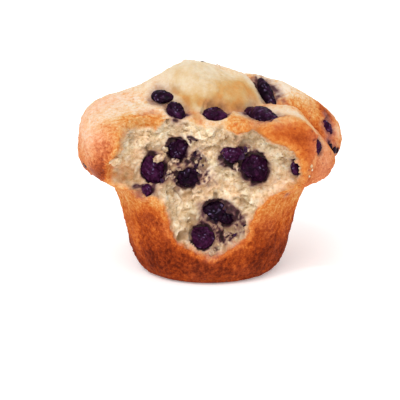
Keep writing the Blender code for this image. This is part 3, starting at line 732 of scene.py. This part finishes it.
def findZones(points, at):
    # shares from 0 to 1 of the skin's parts, from each point's place on the unbroken skin (x, y, z), how
    # far the tear pushed it back (depth) and how far inside the tear's outline it lies (inside)
    x, y, z = at.x, at.y, at.z
    ragged = wander(points, (4.2, 0.9, 20), (1.8, 0.4, 21))
    belowCrust = crown(x, y + at.depth) - z - crustBandWidth(x)
    below = ease(-0.6, 1.4, belowCrust + 1.4 * ragged)
    fromFold = at.inside - hills(x, z, tear["crustFolds"])
    inFrom = fromFold + 0.45 * ragged
    at.outside = np.minimum(fromFold, 0)
    golden = hills(x, z, tear["goldenCrumb"]) * (0.9 + wander(points, (2.2, 0.9, 26)))
    at.crumb = ease(0.4, 2.4, at.depth + 0.9 * ragged) * ease(0.4, 3.2, inFrom) * below * (1 - golden)
    at.low = ease(0.2, 2.4, at.depth) * ease(0, 2, inFrom) * below  # where the crumb's relief is
    at.wall = ease(36, 32, z) * ease(1, 5, z)
    beyond = beyondFacet(x, y, z, muffinSkin["facets"][0])[0]
    at.flank = ease(-1.6, -0.5, beyond + wander(points, (2.4, 0.3, 36))) * ease(63.8, 62.2, z)
    at.lobe = ease(0.5, -2.5, fromCrack(x, y)[0]) * ease(18, 24, x) * ease(40, 46, z)
    at.top = ease(52, 62, z) * ease(0.25, 0.75, at.normals[..., 2]) * (1 - 0.7 * at.lobe)
    at.cracked = np.maximum(at.top, 0.8 * ease(-28, -36, x) * ease(40, 46, z))
    at.dome = ease(1.22, 1.02, fromDome(x, y)[0] + wander(points, (3.0, 0.04, 39)))
    at.dome = at.dome * ease(9, 3, y) * (z > 60) * (1 - 0.7 * ease(-12, -22, x))
    # dome tone with spots of colour and of painted shade
    at.domeTone = bakeTones["dome"] + nearSpots(points, domeTintsAndShade, 4)
    at.domeTone = at.domeTone + wander(points, (3.6, 0.14, 30), (2.2, 0.08, 28))
    # the steep middle of the cap's front, where the rows stand wider apart than the columns
    at.steep = ease(28, 22, np.hypot(x, y)) * ease(8, 0, y) * (z > 50)


def muffinRelief(points, at):
    # how far the skin stands out: crust or crumb, crags and creases, then the beds of the berries
    crust, at.crustDark, at.fleck = crustRelief(points, at)
    crumbly, at.crumbHollow = crumbRelief(points)
    relief = blended(at.low, crust * (1 - 0.4 * at.flank), crumbly) + nearSpots(points, crags, 4)
    # painted shade along each crease, added to the crust's tone
    at.creaseTone = np.zeros_like(at.x)
    for (width, depth, tone), path in creases:
        line = bell(fromPath(shaken(points, 0.5, 2.0, 9), path), width)
        relief = relief - depth * line
        at.creaseTone = at.creaseTone + tone * line
    sink, at.berryStain, at.berryShade = berryBeds(points)
    return evenedWhere(at.steep, relief, 30) * ease(0, 1.5, at.z) - evenedWhere(at.steep, sink, 10)


def crustTone(points, at):
    # how brown the crust is: by height on the wall, paler towards the cap's top, darker along the crack,
    # and darker with painted shade in the crease round the dome's edge
    x, y, z = at.x, at.y, at.z
    wallShare = ease(37, 33, z)
    wallTone = stepped(z, *bakeTones["wall"]) + 0.05 * ease(20, 27, x) * ease(28, 33, z)
    wallTone = wallTone + 0.05 * ease(-12, -24, x) * ease(22, 12, z) * (y < 0)
    wallTone = wallTone + wander(points * np.array([1, 1, 0.25]), (2.6, 0.07, 35))
    capTone = stepped(z, *bakeTones["cap"]) - 0.12 * ease(0.5, 0.95, at.normals[..., 2]) * ease(55, 64, z)
    tone = blended(wallShare, capTone, wallTone)
    out, sharp = fromDome(x, y)
    pastCrack, nearRim = fromCrack(x, y)
    tone = tone + bakeTones["crease"] * sharp * bell(out - 1.13, 0.1) * (z > 50)
    tone = tone + bakeTones["crack"] * nearRim * bell(pastCrack + 0.8, 2.0) * (z > 42)
    # tone spots; those that pale the wall's left side are painted light
    tone = tone + wander(points, (5.5, 0.07, 30), (1.6, 0.05, 31)) + nearSpots(points, crustTintsAndLight, 4)
    flankTone = stepped(z, *bakeTones["flank"]) - 0.28 * ease(30, 42, x + 0.5 * (46 - z))
    flankTone = flankTone + wander(points, (3.0, 0.04, 37), (1.0, 0.03, 29))
    tone = blended(at.flank, tone, flankTone + hills(x, z, bakeTones["flankHills"]))
    return blended(at.dome, tone, at.domeTone)


def tearEdge(points, at):
    # how much of the golden edge round the tear shows, and its tone
    x, y, z = at.x, at.y, at.z
    onTop = ease(56, 62, z)
    width = 1.2 + 0.6 * ease(33, 37, z) + 0.8 * at.flank
    beside = bell(at.outside, width) * (y < 0) * (1 - onTop)
    behind = y - tornFace(x, z) + wander(points, (3.0, 1.6, 27))
    over = ease(5.5, 2.0, behind) * ease(1, 4, crustBandWidth(x))
    shown = beside + np.maximum(ease(0.1, 1.0, at.depth), over) * onTop
    paleTop = ease(-17, -14, x) * ease(6.5, 3, x) * ease(58, 62, z)
    tone = stepped(z, *bakeTones["edge"]) + hills(x, z, bakeTones["edgeHills"]) - 0.26 * paleTop
    tone = tone - 0.04 * at.flank + 0.05 * ease(5, 12, x) + 0.12 * ease(33, 27, z) * ease(-6, -12, x)
    return shown, tone + wander(points, (2.2, 0.07, 34))


def juiceOn(points, at, fine):
    # juice from the stains, flecks, trails and berries, blotched by soft noise; some of the stains are
    # painted shade between the berries
    juice = nearSpots(points, juiceAndShadeStains, 4) * (0.75 + 0.9 * fine + wander(points, (0.9, 0.5, 38)))
    juice = juice + 0.16 * at.fleck * (1 - at.low) * (1 - 0.8 * at.flank)
    for (width, strength), path in juiceTrails:
        fromTrail = fromPath(points[..., [0, 2]] + 0.3 * fine[..., None], path)
        juice = np.maximum(juice, strength * bell(fromTrail, width) * (at.y < 0))
    soaked = 0.45 + 0.55 * at.crumb + 0.3 * ease(56, 62, at.z) * (1 - at.crumb)
    soaked = soaked * (1 - 0.7 * at.dome) * (0.85 + wander(points, (2.2, 0.5, 33)))
    return np.maximum(juice, at.berryStain * soaked)


def muffinLabels(points, at):
    # the values that the material reads at each point
    fine = softNoise(points, 1.6, 31)
    shown, edgeTone = tearEdge(points, at)
    edgeShare = 0.85 * shown
    # the creases' painted shade also makes the crust duller and more olive
    dull = np.maximum(at.dome, 2.2 * at.creaseTone) * (1 - edgeShare)
    pink = 0.22 * ease(33, 37, at.z) * (1 - shown) + wander(points, (9.0, 0.18, 32))
    pink = (pink + nearSpots(points, crustTintsAndLight, 5)) * (1 - 0.8 * at.flank * ease(38, 34, at.x))
    # painted shade: the crumb darkened in its hollows, in the listed shaded spots and round the berries
    recessShade = at.crumbHollow + nearSpots(points, crumbShade, 4) * (0.8 + 0.4 * fine)
    recessShade = recessShade * (1 - 0.75 * ease(17, 24, at.x)) + 0.55 * at.berryShade * (0.7 + 0.6 * fine)
    tone = blended(edgeShare, crustTone(points, at), edgeTone)
    return {
        # bake tone with the painted shade of the creases added
        "bakeToneAndShade": tone + 0.12 * at.crustDark + at.creaseTone,
        "pinkness": pink,
        "dullness": dull,
        "calm": np.maximum(np.maximum(0.7 * at.flank, 0.8 * dull), 0.5 * at.lobe),
        "crumbShare": at.crumb,
        "juice": juiceOn(points, at, fine),
        "hollowShade": recessShade * at.crumb,
    }


def muffinBody(material):
    # the skin on a fine grid, broken open in front, with its relief pushed along its outward direction
    turn = np.arange(muffinSkin["columns"]) * 2 * math.pi / muffinSkin["columns"] - math.pi
    angles = turn - muffinSkin["crowding"] * np.sin(turn) - math.pi / 2
    shares = np.linspace(stationShares()[1], 1, muffinSkin["rows"] + 1)[:-1]
    x, y, z = wholeSkin(angles, shares)
    depth, inside = tearFront(x, y, z)
    points = np.stack([x, y + depth, z], axis=-1)
    normals = gridNormals(np.stack([evened(points[..., axis], 5) for axis in range(3)], axis=-1))
    at = SimpleNamespace(x=x, y=y, z=z, depth=depth, inside=inside, normals=normals)
    findZones(points, at)
    nearPole = np.where(z > 40, 0.25 + 0.75 * ease(0, 6, np.hypot(x, y)), 1)
    points = points + normals * (muffinRelief(points, at) * nearPole)[..., None]
    points[..., 2] = np.maximum(points[..., 2], 0)

    labels = muffinLabels(points, at)
    attributes = {}
    for label, values in labels.items():
        values = evenedWhere(at.steep, values, 30)
        attributes[label] = np.append(np.clip(values, 0, 1).ravel(), [values[0].mean(), values[-1].mean()])
    poles = [(0, 0, 0), (0, 0, crown(np.zeros(1), np.zeros(1))[0])]
    allPoints = np.vstack([points.reshape(-1, 3), poles])
    piece = addPiece("muffin_body", allPoints, closedGridFaces(*x.shape), material, attributes)
    free = (at.crumb > 0.9) & (at.berryStain < 0.2) & (labels["juice"] < 0.2)
    return piece, SimpleNamespace(points=points, normals=normals, free=free)


def addNode(tree, kind, inputs=None, **settings):
    # a shader node with its settings and its constant inputs
    node = tree.nodes.new("ShaderNode" + kind)
    for name, value in settings.items():
        setattr(node, name, value)
    for name, value in (inputs or {}).items():
        node.inputs[name].default_value = value
    return node


def attributeNode(tree, name):
    return addNode(tree, "Attribute", attribute_name=name).outputs["Fac"]


def noiseNode(tree, place, size, detail=3.0, roughness=0.6):
    # noise whose lumps are about this many millimetres
    node = addNode(tree, "TexNoise", {"Scale": 1 / (size * mm), "Detail": detail, "Roughness": roughness})
    tree.links.new(place, node.inputs["Vector"])
    return node.outputs["Fac"]


def plug(tree, socket, value):
    # another node's output, a number or a colour into a socket
    if isinstance(value, bpy.types.NodeSocket):
        tree.links.new(value, socket)
    else:
        socket.default_value = (*value, 1) if isinstance(value, tuple) else value


def mathNode(tree, operation, *values):
    node = addNode(tree, "Math", operation=operation)
    for socket, value in zip(node.inputs, values):
        plug(tree, socket, value)
    return node.outputs["Value"]


def blotched(tree, noise, amount, value):
    # value + amount * (noise - 0.5)
    return mathNode(tree, "MULTIPLY_ADD", mathNode(tree, "SUBTRACT", noise, 0.5), amount, value)


def mixNode(tree, share, first, second):
    # two colours mixed by a share; each is a colour or another node's output
    node = addNode(tree, "Mix", data_type="RGBA")
    for index, value in ((0, share), (6, first), (7, second)):
        plug(tree, node.inputs[index], value)
    return node.outputs[2]


def rampNode(tree, share, stops):
    # colours along a share, each stop as (place, colour)
    node = addNode(tree, "ValToRGB")
    ramp = node.color_ramp
    while len(ramp.elements) < len(stops):
        ramp.elements.new(0.5)
    for element, (place, colour) in zip(ramp.elements, stops):
        element.position = place
        element.color = (*colour, 1)
    tree.links.new(share, node.inputs["Fac"])
    return node.outputs["Color"]


def newMaterial(name, sockets):
    # a material whose shader has these constant values
    material = bpy.data.materials.new(name)
    material.use_nodes = True
    shader = material.node_tree.nodes["Principled BSDF"]
    for socket, value in sockets.items():
        shader.inputs[socket].default_value = value
    return material, material.node_tree, shader


def addBump(tree, shader, height, strength, distance):
    # fine relief, its distance in millimetres
    bump = addNode(tree, "Bump", {"Strength": strength, "Distance": distance * mm})
    tree.links.new(height, bump.inputs["Height"])
    tree.links.new(bump.outputs["Normal"], shader.inputs["Normal"])


bakeColours = {
    "golden": (
        (0, (0.75, 0.64, 0.49)), (0.15, (0.72, 0.52, 0.31)), (0.3, (0.68, 0.36, 0.125)),
        (0.45, (0.61, 0.205, 0.043)), (0.6, (0.49, 0.1, 0.015)), (0.75, (0.31, 0.048, 0.008)),
        (0.9, (0.19, 0.025, 0.005)), (1, (0.1, 0.013, 0.004)),
    ),
    "pink": (
        (0, (0.78, 0.63, 0.53)), (0.3, (0.78, 0.45, 0.28)), (0.5, (0.72, 0.28, 0.13)),
        (0.7, (0.5, 0.13, 0.055)), (1, (0.2, 0.04, 0.02)),
    ),
    "dull": (
        (0, (0.68, 0.57, 0.41)), (0.25, (0.62, 0.45, 0.26)), (0.45, (0.56, 0.34, 0.135)),
        (0.65, (0.55, 0.25, 0.07)), (1, (0.3, 0.12, 0.035)),
    ),
    "peach": ((0, (0.93, 0.77, 0.57)), (0.5, (0.85, 0.6, 0.38)), (1, (0.56, 0.33, 0.16))),
    "cream": ((0, (0.95, 0.87, 0.7)), (0.5, (0.83, 0.67, 0.44)), (1, (0.48, 0.31, 0.14))),
    # painted shade: the dark brown the crumb turns to in its hollows and round the berries
    "hollowShade": (0.29, 0.16, 0.055),
    "juice": (
        (0, (0.54, 0.36, 0.28)), (0.35, (0.26, 0.125, 0.12)), (0.7, (0.07, 0.022, 0.036)),
        (1, (0.01, 0.003, 0.008)),
    ),
    "sockets": {
        "Roughness": 0.7,
        "Specular IOR Level": 0.03,
        "Subsurface Weight": 0.1,
        "Subsurface Radius": (1.0, 0.5, 0.25),
        "Subsurface Scale": 2.0 * mm,
    },
}


def muffinMaterial():
    # crust tones along a baking scale with painted shade in its creases, pale crumb darkened by painted
    # shade in its pores and hollows, and juice stains over both
    material, tree, shader = newMaterial("baked crust and crumb", bakeColours["sockets"])
    place = addNode(tree, "TexCoord").outputs["Object"]
    mottle = noiseNode(tree, place, 1.5)
    shift = blotched(tree, mottle, 0.6, blotched(tree, noiseNode(tree, place, 0.6, 2.0), 0.45, 0.0))
    lively = mathNode(tree, "MULTIPLY_ADD", attributeNode(tree, "calm"), -0.6, 1.0)
    tone = mathNode(tree, "MULTIPLY_ADD", shift, lively, attributeNode(tree, "bakeToneAndShade"))
    golden, pink, dull = (rampNode(tree, tone, bakeColours[name]) for name in ("golden", "pink", "dull"))
    crust = mixNode(tree, attributeNode(tree, "pinkness"), golden, pink)
    crust = mixNode(tree, attributeNode(tree, "dullness"), crust, dull)
    crumbTone = mathNode(tree, "MULTIPLY_ADD", noiseNode(tree, place, 2.6, 5.0, 0.7), 3.2, -1.15)
    warmth = mathNode(tree, "MULTIPLY_ADD", noiseNode(tree, place, 9.0, 2.0), 4.0, -1.5)
    warmth = mathNode(tree, "MINIMUM", mathNode(tree, "MAXIMUM", warmth, 0.0), 1.0)
    cream, peach = (rampNode(tree, crumbTone, bakeColours[name]) for name in ("cream", "peach"))
    # painted shade: the crumb mixed towards that dark brown in its hollows and round the berries
    hollowShade = mathNode(tree, "MULTIPLY", attributeNode(tree, "hollowShade"), 0.84)
    crumb = mixNode(tree, hollowShade, mixNode(tree, warmth, cream, peach), bakeColours["hollowShade"])
    base = mixNode(tree, attributeNode(tree, "crumbShare"), crust, crumb)
    juice = attributeNode(tree, "juice")
    stained = rampNode(tree, blotched(tree, mottle, 0.5, juice), bakeColours["juice"])
    cover = mathNode(tree, "MINIMUM", mathNode(tree, "MULTIPLY", juice, 1.5), 0.96)
    tree.links.new(mixNode(tree, cover, base, stained), shader.inputs["Base Color"])
    grain = noiseNode(tree, place, 0.45)
    addBump(tree, shader, mathNode(tree, "ADD", mottle, grain), 0.6, 0.35)
    return material


berryColours = {
    "dark": ((0, (0.002, 0.0006, 0.002)), (0.6, (0.006, 0.0016, 0.006)), (1, (0.014, 0.004, 0.013))),
    "violet": ((0, (0.011, 0.0013, 0.008)), (0.5, (0.033, 0.004, 0.024)), (1, (0.085, 0.018, 0.072))),
    # lilac patches, partly waxy bloom and partly painted highlight where the wet skin would glint
    "bloomAndGlint": (0.23, 0.17, 0.33),
    "sockets": {"Roughness": 0.22, "Specular IOR Level": 0.03},
    # how violet each berry's skin is; the others take the last value
    "violetShares": {
        "berry_face_left": 0.85, "berry_face_low_left": 1, "berry_face_upper_right": 0.85,
        "berry_face_right": 0.45, "berry_face_lowest": 0.7, "berry_face_far_right": 0.9,
        "berry_face_upper_left": 0.3, "berry_side_right": 0.9, "berry_top_middle": 0.5,
        "berry_top_right": 0.4, "berry_top_middle_left": 0.3, "berry_rear_top_left": 0.5,
        "berry_rear_side_right": 0.6, "berry_rim_right": 0.7, "others": 0.12,
    },
}


def berryMaterial():
    # near-black to violet skin, wet, with paler lilac patches on its ridges, partly waxy bloom and partly
    # painted highlights
    material, tree, shader = newMaterial("burst berry", berryColours["sockets"])
    place = addNode(tree, "TexCoord").outputs["Object"]
    tone = mathNode(tree, "MULTIPLY_ADD", noiseNode(tree, place, 1.6, 4.0), 2.4, -0.7)
    dark, violet = (rampNode(tree, tone, berryColours[name]) for name in ("dark", "violet"))
    base = mixNode(tree, attributeNode(tree, "violetShare"), dark, violet)
    # paler lilac patches: partly waxy bloom, partly painted highlight
    base = mixNode(tree, attributeNode(tree, "bloomAndGlint"), base, berryColours["bloomAndGlint"])
    tree.links.new(base, shader.inputs["Base Color"])
    addBump(tree, shader, noiseNode(tree, place, 0.9), 0.5, 0.2)
    return material


berryShape = {
    "rows": 42,
    "columns": 76,
    "swell": 1.03,  # a little fuller than the solid, so that it meets its bed
    "sink": 0.45,  # how much deeper it sits
    "uneven": (7.0, 0.9),  # spacing and height
    "dent": (4.2, 1.0),
    "wrinkle": (1.3, 0.2),
    "grain": (0.6, 0.08),
    "crease": (3.0, 0.55, 0.13),  # spacing, depth and width
}


def bakedBerry(name, number, material):
    # an ellipsoid on its solid's three axes, with dents, thin creases exp(-(noise / 0.13)^2) and wrinkles
    middle, axes, half = berries[name]
    ball = ballGrid(berryShape["rows"], berryShape["columns"])
    local = ball * half * berryShape["swell"] - np.array([0, 0, berryShape["sink"]])
    own = local + 31.7 * number
    spacing, depth, width = berryShape["crease"]
    crease = bell(softNoise(shaken(own, 0.4, 1.1, 41), spacing, 42), width)
    relief = -0.1 * berryShape["dent"][1] - depth * crease
    for finish, seed in (("dent", 40), ("uneven", 49), ("wrinkle", 46), ("grain", 43)):
        relief = relief + ripple(own, berryShape[finish], seed)
    size = min(half.min() / 3.0, 1.0) * (0.5 + 0.5 * ease(0.0, 0.6, ball[..., 2]))
    points = (local + ball * (relief * size)[..., None]) @ axes + middle
    # lilac patches, partly waxy bloom and partly painted highlights standing in for glints on the wet skin
    patch = ease(-0.1, 0.4, softNoise(own, 2.8, 44))
    bloomAndGlint = patch * (0.01 + 0.65 * ease(0.3, 0.6, softNoise(own, 0.8, 45))) * (1 - crease)
    shares = berryColours["violetShares"]
    violet = shares.get(name, shares["others"])
    edge = ease(0.55, 1.0, np.hypot(ball[..., 0], ball[..., 1])) * ease(-0.5, 0.5, softNoise(own, 2.2, 47))
    violet = np.clip(violet + 0.7 * edge * (0.2 + violet) + wander(own, (1.8, 0.3, 48)), 0, 1)
    labels = {"bloomAndGlint": 0.9 * bloomAndGlint, "violetShare": violet}
    labels = {label: np.append(values[1:-1].ravel(), [0, 0]) for label, values in labels.items()}
    triangles = closedGridFaces(berryShape["rows"], berryShape["columns"])
    piece = addPiece("baked_" + name, withPoles(points), triangles, material, labels)
    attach(piece, "root")
    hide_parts(name)


crumbBits = {
    "seed": 5,
    "count": 240,
    "size": (0.2, 0.6),  # smallest and largest half size
    "raised": 0.2,  # how far they stand out, in half sizes
    "flatness": 0.7,
    "grid": (4, 7),  # rows and columns of points on each
    "juice": (0.0, 0.12),  # least and most
}
lumpShape = {
    "grid": (14, 20),
    "crumbFlatness": 0.7,
    "scrapFlatness": 0.45,
}
# single lumps on the skin: (x, y, z, half size, how far they stand out, juice)
crumbChunks = (
    (-19.2, -22, 48.6, 1.5, 1, 0.14), (-21, -22, 47.8, 1.1, 1.2, 0.16), (-18, -22, 49.2, 1, 0.6, 0.1),
    (-12.4, -21, 47.4, 0.8, 0.3, 0.36), (-14.4, -21, 47.2, 0.9, 0.3, 0.3),
    (-14.6, -21, 45.4, 0.8, 0.3, 0.26), (-12.4, -21, 44.6, 0.7, 0.3, 0.3),
    (-15.4, -22, 46.2, 0.6, 0.3, 0.36), (-16.4, -22, 41.2, 0.7, 0.3, 0.36),
    (-14.6, -22, 40.2, 0.8, 0.3, 0.3), (-15.8, -22, 40, 0.5, 0.3, 0.36), (-13.2, -21, 46.2, 1.3, 0.1, 0.34),
    (-11.6, -21, 45, 0.8, 0.1, 0.3), (-15, -22, 41.4, 1, 0.3, 0.32), (-15.6, -22, 42.8, 0.7, 0.3, 0.3),
    (-13.9, -22, 39.8, 0.6, 0.2, 0.3), (-17, -21, 51.6, 1.1, 0.1, 0.12), (-4.6, -21, 43, 0.8, 0.1, 0.2),
    (-5.6, -21, 46.6, 0.7, 0.1, 0.2), (-3.4, -21, 48.6, 0.6, 0.1, 0.3), (-37, -31.4, 50.8, 1.2, 0.5, 0),
    (-35.8, -32.2, 50.2, 1.6, 0.8, 0), (-34.2, -32.2, 49.6, 1.4, 0.9, 0), (0.2, -28, 13.4, 0.8, 0, 0.24),
    (-1.4, -28, 12.9, 0.6, 0, 0.2), (1.4, -28, 14.4, 0.5, 0, 0.3), (7.4, -26, 21.2, 0.8, 0.2, 0.34),
    (6, -26, 20, 0.6, 0.2, 0.3), (9.6, -22, 45.8, 1.2, 0.3, 0.34), (10.6, -22, 44.4, 0.9, 0.3, 0.4),
    (14.2, -22, 51.6, 0.9, 0.3, 0.34), (-28.4, -24, 43.4, 0.6, 0.1, 0.05), (24.4, -23, 53.4, 0.9, 0.1, 0),
    (-1.2, -22, 58.6, 1.2, 0, 0), (1.6, -22, 56.6, 0.9, 0, 0), (-23.4, -22, 57.4, 1.3, 0, 0),
    (26.6, -23, 47.4, 0.8, 0, 0), (35.6, -32.3, 48.1, 0.55, 0.2, 0), (34.5, -32.4, 46.2, 0.6, 0.2, 0),
    (35, -32.6, 44.4, 0.5, 0.2, 0), (36.4, -31.8, 46.6, 0.35, 0.2, 0),
)
# scraps of berry skin: (x, y, z, half size, how far they stand out, violet)
berryScraps = (
    (-6.9, -21, 56, 0.8, 0.1, 0.1), (-5.6, -21, 55.4, 0.6, 0.1, 0.1), (-8, -21, 54, 0.35, 0.1, 0.1),
    (-5.2, -21, 50, 0.8, 0, 0.4), (-3.4, -21, 47.6, 0.6, 0, 0.4), (-5.2, -21, 45, 0.8, 0, 0.3),
    (-2.8, -21, 44.4, 0.5, 0, 0.3), (11.6, -22, 48.6, 1.5, 0.6, 0.8), (12.6, -22, 50.6, 1.2, 0.6, 0.6),
    (12.6, -26, 23, 0.7, 0, 0.2), (8.8, -26, 20, 0.7, 0, 0.5), (-18.4, -23, 40.4, 1, 0.2, 0.9),
    (-16.8, -22, 42, 0.7, 0.2, 0.6), (48.2, 4.6, 44.4, 1.7, 0.1, 0.1), (47, 3.4, 46.6, 1.2, 0.1, 0.1),
    (49.6, 6, 44.8, 0.9, 0.1, 0.1),
)


def lumpyBalls(grid, centres, outward, halfSizes, flatness, draw):
    # small uneven balls, flattened along the skin's outward direction and turned at random round it
    ball = withPoles(ballGrid(*grid))
    count = len(centres)
    stretch = draw.uniform(0.7, 1.3, (count, 1, 3)) * np.array([1, 1, flatness])
    first = np.cross(outward, draw.normal(size=(count, 3)))
    first /= np.linalg.norm(first, axis=1, keepdims=True)
    turned = np.stack([first, np.cross(outward, first), outward], axis=1)
    rough = 1 + wander(ball[None] + centres[:, None], (1.1, 0.5, 70), (0.5, 0.25, 71))
    shapes = ball[None] * rough[..., None] * stretch * np.reshape(halfSizes, (-1, 1, 1))
    triangles = closedGridFaces(*grid)[None] + (np.arange(count) * len(ball))[:, None, None]
    return shapes @ turned + centres[:, None], triangles.reshape(-1, 3)


def addLumps(name, lumps, material, labels):
    # joined lumps that belong to one finish, their labels made uneven by soft noise
    shapes, triangles = lumps
    points = shapes.reshape(-1, 3)
    uneven = 1 + wander(points, (0.9, 0.9, 72))
    each = shapes.shape[1]
    attributes = {label: np.clip(np.repeat(values, each) * uneven, 0, 1) for label, values in labels.items()}
    piece = addPiece(name, points, triangles, material, attributes)
    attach(piece, "root")


def crumbLabels(juice):
    # a loose crumb is all crumb, lightly baked and a little shaded, with its own juice
    level = np.ones(len(juice))
    return {"bakeToneAndShade": 0.3 * level, "crumbShare": 2 * level, "juice": 1.3 * juice, "hollowShade": 0.34 * level}


def scrapLabels(violet):
    # the more violet a scrap is, the more lilac patches it has, partly bloom and partly painted highlight
    return {"violetShare": violet, "bloomAndGlint": 0.12 * violet}


def scatteredBits(skin, material):
    # fine crumbs spread at random over the torn face, away from the berries
    draw = np.random.default_rng(crumbBits["seed"])
    count = crumbBits["count"]
    chosen = draw.choice(skin.free.sum(), count, replace=False)
    places, outward = skin.points[skin.free][chosen], skin.normals[skin.free][chosen]
    smallest, largest = crumbBits["size"]
    half = smallest + (largest - smallest) * draw.random(count) ** 2
    centres = places + outward * crumbBits["raised"] * half[:, None]
    lumps = lumpyBalls(crumbBits["grid"], centres, outward, half, crumbBits["flatness"], draw)
    labels = crumbLabels(draw.uniform(*crumbBits["juice"], count))
    addLumps("crumb_bits", lumps, material, labels)


def placedLumps(name, slot, skin, spots, flatness, material, labelsOf):
    # lumps on the skin's points nearest to chosen places
    draw = np.random.default_rng(len(spots))
    places, outward = skin.points.reshape(-1, 3), skin.normals.reshape(-1, 3)
    nearest = [np.sum((places - np.array(spot[:3])) ** 2, axis=1).argmin() for spot in spots]
    half, raised, tone = np.array([spot[3:] for spot in spots]).T
    centres = places[nearest] + outward[nearest] * raised[:, None]
    lumps = lumpyBalls(lumpShape["grid"], centres, outward[nearest], half, flatness, draw)
    addLumps(name, lumps, material, labelsOf(tone))


crustAndCrumb = muffinMaterial()
burstBerry = berryMaterial()
body, bodySkin = muffinBody(crustAndCrumb)
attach(body, "root")
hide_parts("muffin")
print("muffin body done")
for number, name in enumerate(berries):
    bakedBerry(name, number, burstBerry)
print("berries done")
scatteredBits(bodySkin, crustAndCrumb)
chunkFinish = (lumpShape["crumbFlatness"], crustAndCrumb, crumbLabels)
scrapFinish = (lumpShape["scrapFlatness"], burstBerry, scrapLabels)
placedLumps("crumb_chunks", "crust_and_crumb", bodySkin, crumbChunks, *chunkFinish)
placedLumps("berry_scraps", "baked_berry", bodySkin, berryScraps, *scrapFinish)
print("crumbs and scraps done")

studio = {
    "floorSize": 6.0,
    "floorRoughness": 0.8,
    "floorColour": (0.95, 0.95, 0.95, 1),
    "floorGlow": 0.24,  # keeps the shade on the floor faint
    "white": (1, 1, 1, 1),
    "worldStrength": 0.88,
    # a wide light for soft shade and a narrow one for the glints on the berries: name, where it shines
    # from, strength, degrees across
    "lamps": (("key", (-0.2, -0.75, 0.95), 1.15, 40.0), ("glint", (-0.35, -0.6, 0.9), 0.4, 5.0)),
}


def addFloor():
    # a flat square under the muffin
    half = studio["floorSize"] / 2
    corners = [(-half, -half, 0), (half, -half, 0), (half, half, 0), (-half, half, 0)]
    mesh = bpy.data.meshes.new("floor")
    mesh.from_pydata(corners, [], [(0, 1, 2, 3)])
    floor = bpy.data.objects.new("floor", mesh)
    bpy.context.scene.collection.objects.link(floor)
    sockets = {
        "Base Color": studio["floorColour"],
        "Roughness": studio["floorRoughness"],
        "Emission Color": studio["white"],
        "Emission Strength": studio["floorGlow"],
    }
    mesh.materials.append(newMaterial("pale floor", sockets)[0])


def addLamp(name, shinesFrom, strength, spread):
    # a distant light turned so that it shines from its direction towards the muffin
    lamp = bpy.data.lights.new(name, "SUN")
    lamp.energy = strength
    lamp.angle = math.radians(spread)
    holder = bpy.data.objects.new(name, lamp)
    holder.rotation_euler = Vector(shinesFrom).to_track_quat("Z", "Y").to_euler()
    bpy.context.scene.collection.objects.link(holder)


def addStudio():
    addFloor()
    for lamp in studio["lamps"]:
        addLamp(*lamp)
    world = bpy.data.worlds.new("studio")
    world.use_nodes = True
    background = world.node_tree.nodes["Background"]
    background.inputs["Color"].default_value = studio["white"]
    background.inputs["Strength"].default_value = studio["worldStrength"]
    bpy.context.scene.world = world
    bpy.context.scene.view_settings.view_transform = "Standard"


view = {
    "elevation": 15.0,
    "distance": 0.7,
    "frameSize": 400,
    "pixelsPerMm": 2.54,
    "basePixel": (210.0, 264.0),  # where the middle of the muffin's base shows in the frame
    "sensor": 36.0,
    "clipStart": 0.01,
}


def addCamera():
    # the camera looks at the point of the upright plane through the base that falls mid-frame
    lift = math.radians(view["elevation"])
    up = Vector((0, math.sin(lift), math.cos(lift)))
    back = Vector((0, -math.cos(lift), math.sin(lift)))
    middle = view["frameSize"] / 2
    right = (middle - view["basePixel"][0]) / view["pixelsPerMm"] * mm
    raised = (view["basePixel"][1] - middle) / view["pixelsPerMm"] * mm
    target = Vector((right, 0, 0)) + up * raised
    camera = bpy.data.cameras.new("camera")
    camera.sensor_width = view["sensor"]
    camera.lens = view["pixelsPerMm"] / mm * view["sensor"] * view["distance"] / view["frameSize"]
    camera.clip_start = view["clipStart"]
    holder = bpy.data.objects.new("camera", camera)
    holder.location = target + back * view["distance"]
    holder.rotation_euler = (-back).to_track_quat("-Z", "Y").to_euler()
    bpy.context.scene.collection.objects.link(holder)
    bpy.context.scene.camera = holder


addStudio()
addCamera()
print("studio done")
